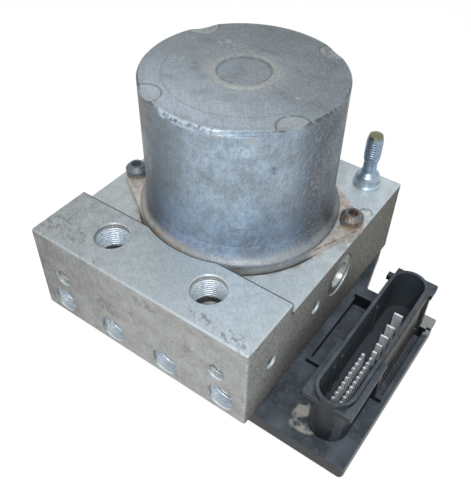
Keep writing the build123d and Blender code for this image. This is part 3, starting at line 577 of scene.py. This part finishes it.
# %% can lid: marks
ring = window(tree, r, 25.7, 26.1, 0.35)
bead_dirt = product(tree, window(tree, r, 9.4, 11.0, 0.6), grain(tree, 1.2, 0.36, 0.56, detail=6.0))
bead_edge = product(tree, window(tree, r, 8.3, 8.8, 0.4), grain(tree, 2.0, 0.34, 0.5))
bead_halo = product(tree, window(tree, r, 11.0, 12.2, 3.5), grain(tree, 1.0, 0.40, 0.60, detail=6.0))
edge_ring = window(tree, r, can_radius - 2.2, can_radius + 1.0, 0.8)
patches = [
    # place on the lid along x and y, reach
    ((19.7, -3.2), (5.0, 2.6, 3.0)), ((15.8, -12.2), (2.6, 3.0, 3.0)), ((-14.0, 12.0), (7.0, 5.0, 3.0)),
    ((-22.0, -6.0), (4.0, 6.0, 3.0)), ((3.0, -20.0), (8.0, 3.0, 3.0)),
]
pale = anywhere(tree, *[spot(tree, (a, b, can_top), reach) for (a, b), reach in patches])
stake_places = [((can_radius - 0.6) * cos(radians(a)), (can_radius - 0.6) * sin(radians(a)))
                for a in (60, 150, 240, 330)]
across = add(tree, "CombineXYZ", {"X": x, "Y": y})
flat_distances = []
for place in stake_places:
    gap = add(tree, "VectorMath", {0: across, 1: (*place, 0.0)}, operation="DISTANCE")
    flat_distances.append(gap.outputs["Value"])
near_top = window(tree, z, can_top - 1.6, can_top + 1.0, 0.3)
scoops = product(tree, near_top, anywhere(tree, *[window(tree, d, -1.0, 5.0, 0.4) for d in flat_distances]))
scoop_chalk = product(tree, scoops, grain(tree, 1.4, 0.36, 0.56, detail=6.0))
# painted shade: a dark line round each scoop, where its edge falls in shade
scoop_rim_shade = product(tree, near_top, grain(tree, 2.0, 0.32, 0.46),
                     anywhere(tree, *[window(tree, d, 5.1, 5.5, 0.3) for d in flat_distances]))
# painted light and shade across the lid: lighter towards the front, darker towards the back and the sides
lid_back_shade, lid_front_light, lid_right_shade, lid_left_shade = [
    add(tree, "MapRange", {"Value": way, "From Min": start, "From Max": end})
    for way, start, end in ((y, 2.0, 30.0), (y, -4.0, -26.0), (x, 8.0, 32.0), (x, -8.0, -32.0))]
print(len(patches), "pale patches and", len(stake_places), "stakes placed")

# %% can lid: coats
lid_colour = coats(
    tree, "#7f8990",
    # painted shade towards the back and the sides, painted light towards the front
    (lid_back_shade, 0.9, "#4f5657"),
    (lid_right_shade, 0.5, "#5a6268"),
    (lid_left_shade, 0.4, "#6a7376"),
    (lid_front_light, 0.9, "#aebcc8"),
    (chalk, 0.40, "#9ba7b0"),
    (brushed, 0.35, "#697277"),
    (bruise, 0.35, "#656d6f"),
    (frost, 0.24, "#aab5bd"),
    (dust, 0.26, "#5c6467"),
    (product(tree, pale, chalk_fine), 0.55, "#b9c2c6"),
    (ring, 0.30, "#686e70"),
    (bead_halo, 0.35, "#a9adab"),
    (bead_edge, 0.6, "#565b5c"),
    (bead_dirt, 0.50, "#aba89d"),
    (edge_ring, 0.25, "#747c80"),
    (scoop_chalk, 0.45, "#a9aca9"),
    # painted shade round the scoops
    (scoop_rim_shade, 0.55, "#474b4b"))
metal = coats(
    tree, wall_colour,
    (lid, 1, lid_colour),
    (rim_dark, 0.8, "#3f4344"),
    # painted highlight on the rim's front
    (rim_highlight, 0.8, "#bccbd6"),
    (product(tree, rim_wear_and_highlight, chalk_fine), 0.35, "#a9b4bb"))
seam = add(tree, "MapRange", {"Value": z, "From Min": can_foot + 4.4, "From Max": can_foot + 1.2})
seam = product(tree, seam, grain(tree, 1.4, 0.36, 0.56, detail=6.0))
tan_side = sector(tree, angle, -200.0, -96.0, 22.0)
metal = coats(
    tree, metal,
    (seam, 0.45, "#98948c"),
    (product(tree, seam, tan_side), 0.85, "#a3937c"))
worn = add(tree, "MapRange", {"Value": anywhere(tree, chalk, bruise), "To Min": 0.36, "To Max": 0.60})
fill(tree, shader, {"Base Color": metal, "Roughness": worn})
relief(tree, shader, add(tree, "Mix", {0: 0.5, 2: chalk_fine, 3: draw_lines}), 0.05, edge=0.4)
paint(zinc, "motor_can")
print("motor can finished")

# %% [markdown]
# ## Flange and screws, rusting
#
# The flange is steel too, but thinner plated and always wet, so it rusts from its edge inwards.
# Rust is not metal at all: it is rough, brown and matt. The mask that lays the rust's colour
# over the plate also takes the metallic value down and the roughness up.

# %% rusting steel
rusting, tree, shader = finish("plated steel, rusting", 0.5, 0.5)
x, y, z, r, angle = whereabouts(tree)
up = facing(tree)[2]
patchy = grain(tree, 2.4, 0.42, 0.60, detail=7.0)
fine = grain(tree, 0.6, 0.40, 0.65, detail=5.0, shift=6.0)
side_edge = add(tree, "MapRange", {"Value": up, "From Min": 0.7, "From Max": 0.2})
front_right = window(tree, angle, -80.0, 30.0, 22.0)
left_side = sector(tree, angle, -200.0, -100.0, 14.0)
past_rim = window(tree, r, flange_edge + 0.5, 60.0, 0.4)
bare = coats(
    tree, "#9aa0a3",
    (fine, 0.45, "#77777a"),
    (left_side, 0.6, "#a8a398"),
    (past_rim, 0.9, "#cdc6c0"),
    (product(tree, patchy, past_rim), 0.35, "#6f6660"))
rust = coats(tree, "#5b3a28", (fine, 1, "#8a5a38"))
rim_line = window(tree, z, flange_top - 0.45, flange_top + 1.0, 0.25)
outer = window(tree, r, flange_edge - 0.5, flange_edge + 30.0, 0.3)
round_ear = spot(tree, (39.4, 12.0, flange_top), (9.0, 9.0, 9.0))
rust_line = product(tree, front_right, rim_line, side_edge, 0.95)
rust_film = product(tree, front_right, outer, window(tree, up, 0.7, 2.0, 0.1), 0.22)
rusted = product(tree, anywhere(tree, patchy, product(tree, fine, 0.8)),
                 anywhere(tree, rust_line, rust_film, product(tree, round_ear, 0.10)))
shown = coats(tree, bare, (rusted, 1, rust))
dull = add(tree, "MapRange", {"Value": rusted, "To Min": 0.45, "To Max": 0.0})
rough = add(tree, "MapRange", {"Value": rusted, "To Min": 0.48, "To Max": 0.85})
fill(tree, shader, {"Base Color": shown, "Metallic": dull, "Roughness": rough})
relief(tree, shader, add(tree, "Mix", {0: 0.5, 2: patchy, 3: fine}), 0.09)
paint(rusting, "motor_flange")
print("flange finished")

# %% screws of the motor
screw_steel, tree, shader = finish("steel screw, stained", 0.45, 0.5)
x, y, z, r, angle = whereabouts(tree)
blotch = grain(tree, 1.6, 0.38, 0.60, detail=6.0)
fine = grain(tree, 0.5, 0.40, 0.62, detail=4.0, shift=2.0)
right_one = window(tree, x, 0.0, 80.0, 5.0)
base = coats(tree, "#717a80", (fine, 1, "#596065"))
crust = grain(tree, 1.0, 0.5, 0.62)
rusty = coats(tree, "#4d423a", (fine, 1, "#7a6454"), (crust, 0.6, "#9c9186"))
low = add(tree, "MapRange", {"Value": z, "From Min": flange_top + 1.6, "From Max": flange_top + 0.2})
shown = coats(
    tree, base,
    (product(tree, right_one, blotch), 1, rusty),
    (product(tree, low, blotch), 1, "#a39173"))
fill(tree, shader, {"Base Color": shown})
relief(tree, shader, blotch, 0.08)
paint(screw_steel, "motor_screws")
print("screws finished")

# %% [markdown]
# ## Zinc, bright plugs
#
# The mounting stud kept its zinc: it is bluer and brighter than the can, and its tip has an olive
# stain. The plugs in the sides are plain steel, pressed in, and stay bright because they are hard
# and smooth. The pump plugs are duller, turned, with rings left by the tool.

# %% mounting stud
stud_zinc, tree, shader = finish("zinc-plated steel, bluish", 0.75, 0.33)
x, y, z, r, angle = whereabouts(tree)
low = add(tree, "MapRange", {"Value": z, "From Min": flange_top + 3.0, "From Max": flange_top - 3.0})
tip = add(tree, "MapRange", {"Value": z, "From Min": motor_face + 20.4, "From Max": motor_face + 22.2})
soil = grain(tree, 1.6, 0.45, 0.65, detail=5.0)
tint = coats(
    tree, "#93a6ba",
    (low, 1, "#c0d0d6"),
    (soil, 0.35, "#69747c"),
    (tip, 1, "#77755f"))
fill(tree, shader, {"Base Color": tint})
relief(tree, shader, soil, 0.03)
paint(stud_zinc, "mounting_stud")
print("stud finished")

# %% ball plugs
plug_steel, tree, shader = finish("bright steel", 0.85, 0.28)
soil = grain(tree, 0.9, 0.50, 0.68, detail=5.0)
tint = coats(tree, "#c3cbd0", (soil, 0.5, "#77756c"))
fill(tree, shader, {"Base Color": tint})
relief(tree, shader, soil, 0.03)
paint(plug_steel, "ball_plugs")
print("ball plugs finished")

# %% pump plugs
turned_steel, tree, shader = finish("turned steel, dull", 0.6, 0.42)
x, y, z, r, angle = whereabouts(tree)
above = add(tree, "Math", {0: z, 1: pump_level}, operation="SUBTRACT")
from_axis = add(tree, "CombineXYZ", {"X": y, "Y": above})
reach = add(tree, "VectorMath", {0: from_axis}, operation="LENGTH").outputs["Value"]
rings = add(tree, "Math", {0: product(tree, reach, 9.0)}, operation="SINE")
soil = grain(tree, 1.8, 0.42, 0.62, detail=6.0)
tint = coats(
    tree, "#8f938f",
    (window(tree, reach, 4.7, 5.3, 0.4), 1, "#bcc3c6"),
    (soil, 0.6, "#625c4f"))
fill(tree, shader, {"Base Color": tint})
relief(tree, shader, rings, 0.03)
paint(turned_steel, "pump_plug_left", "pump_plug_right")
print("pump plugs finished")

# %% [markdown]
# ## Moulded plastic
#
# The control unit is glass-filled nylon, black with a blue cast. Out of the mould it has a faint
# grain. Here it is dusty on every upward face, and corners and ribs are scuffed paler, which
# reads more strongly than the plastic's own colour. Plastic is not a metal. Its index of
# refraction is the usual 1.53 of nylon, and the dust takes some of the shine off, so the
# specular level is under its normal half.

# %% control unit: dust and scuffs
nylon, tree, shader = finish("glass-filled nylon, black", 0.0, 0.5)
x, y, z, r, angle = whereabouts(tree)
up = facing(tree)[2]
dust_grain = grain(tree, 11.0, 0.42, 0.66, stretch=(1, 1.6, 1), detail=4.0)
dust_fine = grain(tree, 1.6, 0.50, 0.70, detail=6.0, shift=8.0)
scuffs = grain(tree, 0.5, 0.62, 0.68, stretch=(14, 1, 1), turn=(0, 0, radians(62)), detail=3.0)
streaks = grain(tree, 0.6, 0.60, 0.70, stretch=(1, 18, 1), turn=(0, 0, radians(8)), detail=3.0, shift=5.0)
is_up = window(tree, up, 0.5, 2.0, 0.3)
pad_dust = spot(tree, (74.5, 17.0, plate_top + 1.5), (8.0, 7.0, 4.0))
settled = anywhere(tree, spot(tree, (56.0, -43.5, plate_top), (3.4, 7.6, 3.0)),
                   spot(tree, (59.0, -47.3, plate_top), (5.4, 2.8, 3.0)))
on_side = product(tree, window(tree, x, 71.8, 73.0, 0.4), window(tree, y, -22.0, 12.0, 2.0))
wall_dust = grain(tree, 0.9, 0.40, 0.62, stretch=(1, 1, 9), detail=4.0, shift=4.0)
in_socket = product(tree, window(tree, x, 59.6, 71.2, 0.1), window(tree, y, -46.6, 16.7, 0.2),
                    window(tree, z, block_foot, shroud_top - 0.8, 1.0))
pad_chalk = add(tree, "MapRange", {"Value": product(tree, pad_dust, is_up), "From Max": 0.25})
mud = add(tree, "MapRange", {"Value": settled, "From Min": 0.1, "From Max": 0.5})
dried_mud = product(tree, mud, grain(tree, 4.0, 0.40, 0.50, detail=8.0))
print("dust and scuffs placed")

# %% control unit: coats
plastic = coats(
    tree, "#0e1318",
    (is_up, 0.7, "#394149"),
    (product(tree, is_up, dust_grain), 0.80, "#59626b"),
    (product(tree, is_up, dust_fine), 0.30, "#6c7176"),
    (product(tree, on_side, wall_dust), 0.60, "#625b55"),
    (scuffs, 0.35, "#565c62"),
    (streaks, 0.20, "#4d5358"),
    (pad_chalk, 0.85, "#9c9e9e"),
    (dried_mud, 0.80, "#a3a199"),
    (product(tree, corners(tree), dust_fine), 0.4, "#59616a"),
    (in_socket, 1, "#363d43"))
dusty = add(tree, "MapRange", {"Value": is_up, "To Min": 0.42, "To Max": 0.62})
fill(tree, shader, {"Base Color": plastic, "Roughness": dusty, "IOR": 1.53, "Specular IOR Level": 0.35})
relief(tree, shader, dust_fine, 0.03, edge=0.35)
paint(nylon, "ecu_housing", "ecu_cover")
print("control unit finished")

# %% [markdown]
# ## Contacts
#
# The contacts are brass plated with tin. New tin is a bright mirror. A skin of oxide has turned
# this one pale and milky, so its metallic value is low, and it is rubbed brighter in streaks by
# every plug that was ever pushed on.

# %% contacts
tin, tree, shader = finish("tin-plated brass", 0.35, 0.30)
rubbed = grain(tree, 0.5, 0.40, 0.65, stretch=(1, 1, 6), detail=3.0)
tint = coats(tree, "#cdd6dc", (rubbed, 1, "#eef2f5"))
fill(tree, shader, {"Base Color": tint})
relief(tree, shader, rubbed, 0.01)
paint(tin, "signal_pins", "power_blades", "terminal_blades")
print("contacts finished")

# %% [markdown]
# ## Inside
#
# The pieces inside don't show until someone takes the unit apart, yet each has its own material.
# They are clean, so two close colours through one grain are enough for each. Ground and spring
# steel mirror sharply, punched and plated steel softly. Enamel makes the wire's copper redder and
# duller than the bare copper of the commutator. Sintered bronze is matt and speckled, and
# ferrite, carbon, rubber and mouldings are dark and hardly shine.

# %% finishes of the inner pieces
inside = [
    # material, pieces, main colour, second colour, metallic, roughness, grain in mm
    ("enamelled copper wire", ["armature_windings"], "#9a4f2a", "#b86a3c", 0.7, 0.35, 0.5),
    ("hard copper", ["commutator"], "#b87352", "#c98a68", 0.95, 0.25, 0.6),
    ("stacked lamination steel", ["armature_core"], "#6f7478", "#8a9094", 0.8, 0.40, 0.8),
    ("ground steel", ["motor_shaft", "eccentric_ring", "lower_bearing", "pump_piston_left",
                      "pump_piston_right", "pump_cylinder_left", "pump_cylinder_right"],
     "#b4b9bd", "#c9cdd0", 0.95, 0.22, 1.5),
    ("spring steel", ["pump_spring_left", "pump_spring_right", "accumulator_spring_left",
                      "accumulator_spring_right", "brush_springs"], "#8b8f92", "#a3a8ab", 0.9, 0.3, 0.8),
    ("ferrite magnet", ["motor_magnets"], "#3a3b3d", "#4a4b4d", 0.1, 0.6, 1.2),
    ("carbon brush", ["brushes"], "#2b2b2c", "#3c3a38", 0.2, 0.5, 0.4),
    ("sintered bronze", ["top_bush"], "#9c7440", "#b08a55", 0.8, 0.42, 0.5),
    ("phenolic moulding", ["brush_holder", "terminal_post"], "#2e2a27", "#3a3531", 0.0, 0.5, 1.0),
    ("coil moulding", ["valve_coils"], "#26282a", "#313437", 0.0, 0.45, 1.0),
    ("yoke steel, plated", ["coil_yokes", "ecu_screws"], "#a39c7f", "#b5b09a", 0.75, 0.35, 1.4),
    ("valve steel", ["inlet_valves", "outlet_valves"], "#a9adaf", "#bfc3c5", 0.9, 0.28, 1.0),
    ("anodised aluminium", ["accumulator_piston_left", "accumulator_piston_right"],
     "#9aa39b", "#abb3ab", 0.7, 0.38, 1.2),
    ("pressed steel cap", ["accumulator_cap_left", "accumulator_cap_right"],
     "#9da3a6", "#b3b8ba", 0.85, 0.32, 1.6),
    ("seal rubber", ["accumulator_seal_left", "accumulator_seal_right", "ecu_gasket"],
     "#1c1c1d", "#262627", 0.0, 0.7, 0.8),
    ("solder mask on fibreglass", ["circuit_board"], "#1d4a33", "#245a3f", 0.0, 0.35, 3.0),
    ("epoxy chip package", ["board_chips"], "#1f2022", "#2a2b2d", 0.0, 0.55, 0.5),
    ("capacitor sleeve", ["capacitors"], "#8d9295", "#a5a9ab", 0.8, 0.3, 1.0),
]
inner_finish = {}
for name, pieces, main, second, metallic, roughness, size in inside:
    made, tree, shader = finish(name, metallic, roughness)
    inner_finish[name] = made
    mask = grain(tree, size, 0.4, 0.6, detail=4.0)
    fill(tree, shader, {"Base Color": coats(tree, main, (mask, 1, second))})
    relief(tree, shader, mask, 0.01, edge=0.1)
    paint(made, *pieces)
print(len(inside), "inner finishes")

# %% [markdown]
# ## The flare of the can
#
# The can's wall doesn't end square: at its foot the sheet swings out and lies on the flange. A
# modeller could spin a profile by hand. Here the profile is a short list of radii and heights,
# turned about the motor's axis point by point, because then noise can push each point a tenth of
# a millimetre in or out, as beaten sheet is. All new pieces end the same way, so one helper
# makes the object, gives it its material, and lets it ride on the unit.

# %% from mesh to piece
def new_piece(name, mesh, material):
    """Object of a finished mesh, in its material, that rides on the unit."""
    bmesh.ops.recalc_face_normals(mesh, faces=mesh.faces)
    data = bpy.data.meshes.new(name)
    mesh.to_mesh(data)
    mesh.free()
    data.materials.append(material)
    piece = bpy.data.objects.new(name, data)
    bpy.context.collection.objects.link(piece)
    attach(piece, "unit")
    return piece


print("pieces ride on the unit")

# %% flare at the foot of the can
def turned_skin(name, outline, steps, material):
    """Closed ring turned about the motor's axis from an outline of radius and height, slightly uneven."""
    mesh = bmesh.new()
    rings = []
    for i in range(steps):
        turn = 2 * pi * i / steps
        ring = []
        for reach, level in outline:
            place = Vector((reach * cos(turn), reach * sin(turn), level))
            uneven = 0.10 * noise.noise(place * 0.45) + 0.05 * noise.noise(place * 1.6)
            pushed = Vector(((reach + uneven) * cos(turn), (reach + uneven) * sin(turn), level + uneven))
            ring.append(mesh.verts.new(pushed * MM))
        rings.append(ring)
    points = len(outline)
    for i in range(steps):
        one, two = rings[i], rings[(i + 1) % steps]
        for a in range(points):
            b = (a + 1) % points
            face = mesh.faces.new((one[a], two[a], two[b], one[b]))
            face.smooth = True
    return new_piece(name, mesh, material)


profile = [
    # past the can's wall, above its foot
    (-0.3, 7.5), (0.05, 6.4), (0.25, 4.6), (0.7, 3.2), (1.3, 2.2), (1.9, 1.4), (2.35, 0.85), (2.65, 0.35),
    (2.7, -0.15), (-0.3, -0.15),
]
flare = [(can_radius + past, can_foot + above) for past, above in profile]
turned_skin("can_flare", flare, 240, zinc)
print("flare turned from", len(flare), "points")

# %% [markdown]
# ## Wound springs
#
# A spring has to get shorter when its piston comes down, and the solid model's spring can't.
# Each accumulator gets a coil of round wire in its place, wound point by point between the
# spring's own levels. It stands on the cap.

# %% accumulator springs
def wound_coil(name, centre, foot, top, radius, wire, turns, material):
    """Coil of round wire between two levels, with one flat turn at each end."""
    steps, sides = 36, 10
    rise = top - foot - 2 * wire
    total = int((turns + 2) * steps)
    mesh = bmesh.new()
    rings = []
    for i in range(total + 1):
        turn = 2 * pi * i / steps
        level = foot + wire + rise * min(1.0, max(0.0, (turn / (2 * pi) - 1) / turns))
        ring = []
        for j in range(sides):
            side = 2 * pi * j / sides
            reach = radius + wire * cos(side)
            around = Vector((reach * cos(turn), reach * sin(turn), level + wire * sin(side)))
            ring.append(mesh.verts.new((Vector((*centre, 0.0)) + around) * MM))
        rings.append(ring)
    for one, two in zip(rings, rings[1:]):
        for j in range(sides):
            k = (j + 1) % sides
            mesh.faces.new((one[j], one[k], two[k], two[j])).smooth = True
    mesh.faces.new(rings[0])
    mesh.faces.new(rings[-1])
    return new_piece(name, mesh, material)


stroke, coil_radius, wire_radius, coil_turns = 7.0, 6.4, 0.8, 2.4
for side in ("left", "right"):
    (x0, y0, foot), (x1, y1, top) = box_mm(f"accumulator_spring_{side}")
    centre = ((x0 + x1) / 2, (y0 + y1) / 2)
    coil = wound_coil(f"accumulator_coil_{side}", centre, foot, top, coil_radius, wire_radius, coil_turns,
                      inner_finish["spring steel"])
    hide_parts(f"accumulator_spring_{side}")
    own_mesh(coil)
    print(coil.name, "from", round(foot, 2), "to", round(top, 2), "mm")

# %% [markdown]
# ## Screw threads
#
# The bores of the solid model are smooth, at the thread's full size. A thread is a V-shaped ridge
# wound down the wall, here a three-sided strip made point by point: at each step round the bore
# it adds an outer, an inner and another outer corner, a little lower each time. The ridge grows
# from nothing at both ends, as a cut thread does. An image of a thread would cost less, but the
# mouths are wide open to the light and the ridges throw real shadows.

# %% wound ridges
def wound_ridge(name, radius, pitch, depth, start, length, place, material):
    """Ridge of that depth inside a bore, or outside a stud where depth is negative, along -z of place."""
    steps = 28
    sunk = 0.03 if depth > 0 else -0.03
    count = int(length / pitch * steps)
    mesh = bmesh.new()
    rows = []
    for i in range(count + 1):
        turn = 2 * pi * i / steps
        level = -start - pitch * i / steps
        grown = min(1.0, i / steps, (count - i) / steps)
        row = []
        for reach, drop in ((radius + sunk, -0.44), (radius - depth * grown, 0.0), (radius + sunk, 0.44)):
            corner = Vector((reach * cos(turn), reach * sin(turn), level + drop * pitch))
            row.append(mesh.verts.new(place @ (corner * MM)))
        rows.append(row)
    for one, two in zip(rows, rows[1:]):
        for a, b in ((0, 1), (1, 2), (2, 0)):
            mesh.faces.new((one[a], one[b], two[b], two[a]))
    mesh.faces.new(rows[0])
    mesh.faces.new(rows[-1])
    return new_piece(name, mesh, material)


print("threads can be wound")

# %% threads
threads, pitch = [], 1.0
upright, to_front = Matrix.Identity(4), Matrix.Rotation(radians(90), 4, "X")
threaded_bores = [
    # name, mouths, direction, radius, depth of the ridge, start, length
    ("master_thread", [(a, b, land_top) for a, b in master_ports], upright, 6.0, 0.34, 1.2, 10.2),
    ("wheel_thread", [(a, block_front, b) for a, b in wheel_ports], to_front, 5.0, 0.20, 3.4, 7.0),
    ("bracket_thread", [(a, block_front, b) for a, b in bracket_holes], to_front, 3.0, 0.18, 1.6, 6.8),
]
for name, mouths, turned, radius, depth, start, length in threaded_bores:
    for i, mouth in enumerate(mouths):
        place = Matrix.Translation(Vector(mouth) * MM) @ turned
        threads.append(wound_ridge(f"{name}_{i + 1}", radius, pitch, depth, start, length, place,
                                   aluminium))
stud_end = Matrix.Translation(Vector((stud_x, stud_y, motor_face + 20.6)) * MM)
threads.append(wound_ridge("stud_thread", 3.0, pitch, -0.15, 0.3, 7.6, stud_end, stud_zinc))
print(len(threads), "threads")

# %% [markdown]
# ## Floor and light
#
# The unit rests on a white floor that runs out to a white world. The camera, mirrors and glass see
# that white, through the Light Path node, while the light that falls on the object comes from a
# weaker world and one soft lamp just above the camera. Together they light an upward face at
# about 1, so a colour renders as it was written. The floor is part glow and part real white,
# which keeps a faint shadow under the unit.

# %% floor
mesh = bmesh.new()
far = 2.5
mesh.faces.new([mesh.verts.new((a * far, b * far, -0.0001)) for a, b in ((-1, -1), (1, -1), (1, 1), (-1, 1))])
data = bpy.data.meshes.new("floor")
mesh.to_mesh(data)
mesh.free()
floor = bpy.data.objects.new("floor", data)
bpy.context.collection.objects.link(floor)
white = bpy.data.materials.new("white floor")
white.use_nodes = True
tree = white.node_tree
tree.nodes.remove(tree.nodes["Principled BSDF"])
path = add(tree, "LightPath")
seen = anywhere(tree, path.outputs["Is Camera Ray"], path.outputs["Is Glossy Ray"],
                path.outputs["Is Transmission Ray"])
paper = add(tree, "BsdfDiffuse", {"Color": colour("#f2f2f2")})
glow = add(tree, "Emission", {"Color": colour("#ffffff"), "Strength": 1.12})
mixed = add(tree, "MixShader", {0: product(tree, seen, 0.80), 1: paper, 2: glow})
fill(tree, tree.nodes["Material Output"], {"Surface": mixed})
data.materials.append(white)
print("floor laid")

# %% world
world = bpy.data.worlds.new("white world")
bpy.context.scene.world = world
world.use_nodes = True
tree = world.node_tree
ambient = tree.nodes["Background"]
fill(tree, ambient, {"Color": colour("#f6f9ff"), "Strength": 0.45})
path = add(tree, "LightPath")
seen = anywhere(tree, path.outputs["Is Camera Ray"], path.outputs["Is Glossy Ray"],
                path.outputs["Is Transmission Ray"])
plain = add(tree, "Background", {"Color": colour("#ffffff"), "Strength": 1.0})
mixed = add(tree, "MixShader", {0: seen, 1: ambient, 2: plain})
fill(tree, tree.nodes["World Output"], {"Surface": mixed})
print("world lit at", round(ambient.inputs["Strength"].default_value, 2))

# %% lamp
distance, lamp_turn, lamp_rise = 0.45, radians(30), radians(50)
lamp_level = 0.70  # what white paper that faces the lamp sends back, where 1 is white
lamp_data = bpy.data.lights.new("window light", "AREA")
lamp_data.shape = "DISK"
lamp_data.size = 0.12
lamp_data.energy = lamp_level * pi ** 2 * distance ** 2
lamp = bpy.data.objects.new("window light", lamp_data)
toward = Vector((sin(lamp_turn) * cos(lamp_rise), -cos(lamp_turn) * cos(lamp_rise), sin(lamp_rise)))
lamp.location = Vector((0, 0, 0.06)) + toward * distance
lamp.rotation_mode = "QUATERNION"
lamp.rotation_quaternion = (-toward).to_track_quat("-Z", "Y")
bpy.context.collection.objects.link(lamp)
bpy.context.scene.view_settings.view_transform = "Standard"
print("lamp", [round(v, 3) for v in lamp.location])

# %% [markdown]
# ## The camera
#
# It stands about 25 cm away, high on the front right, and is rolled a little, as a hand-held
# camera is. So near, the parallel edges of the block run together, and that needs the true
# distance, not only the right angle. A camera looks along its own -z, with y up, so the three
# columns below are its right, its up and its back.

# %% camera
right = Vector((0.815, 0.57916, 0.01883))
down = Vector((0.41993, -0.56791, -0.70792))
forward = Vector((-0.3993, 0.58486, -0.70605))
camera_data = bpy.data.cameras.new("camera")
camera_data.lens = 45.63
camera_data.sensor_width = 36.0
camera_data.clip_start, camera_data.clip_end = 0.01, 20.0
camera = bpy.data.objects.new("camera", camera_data)
camera.matrix_world = Matrix.Translation((0.09972, -0.14832, 0.20985)) @ Matrix((
    right, -down, -forward)).transposed().to_4x4()
bpy.context.collection.objects.link(camera)
bpy.context.scene.camera = camera
print("camera at", [round(v, 3) for v in camera.location])
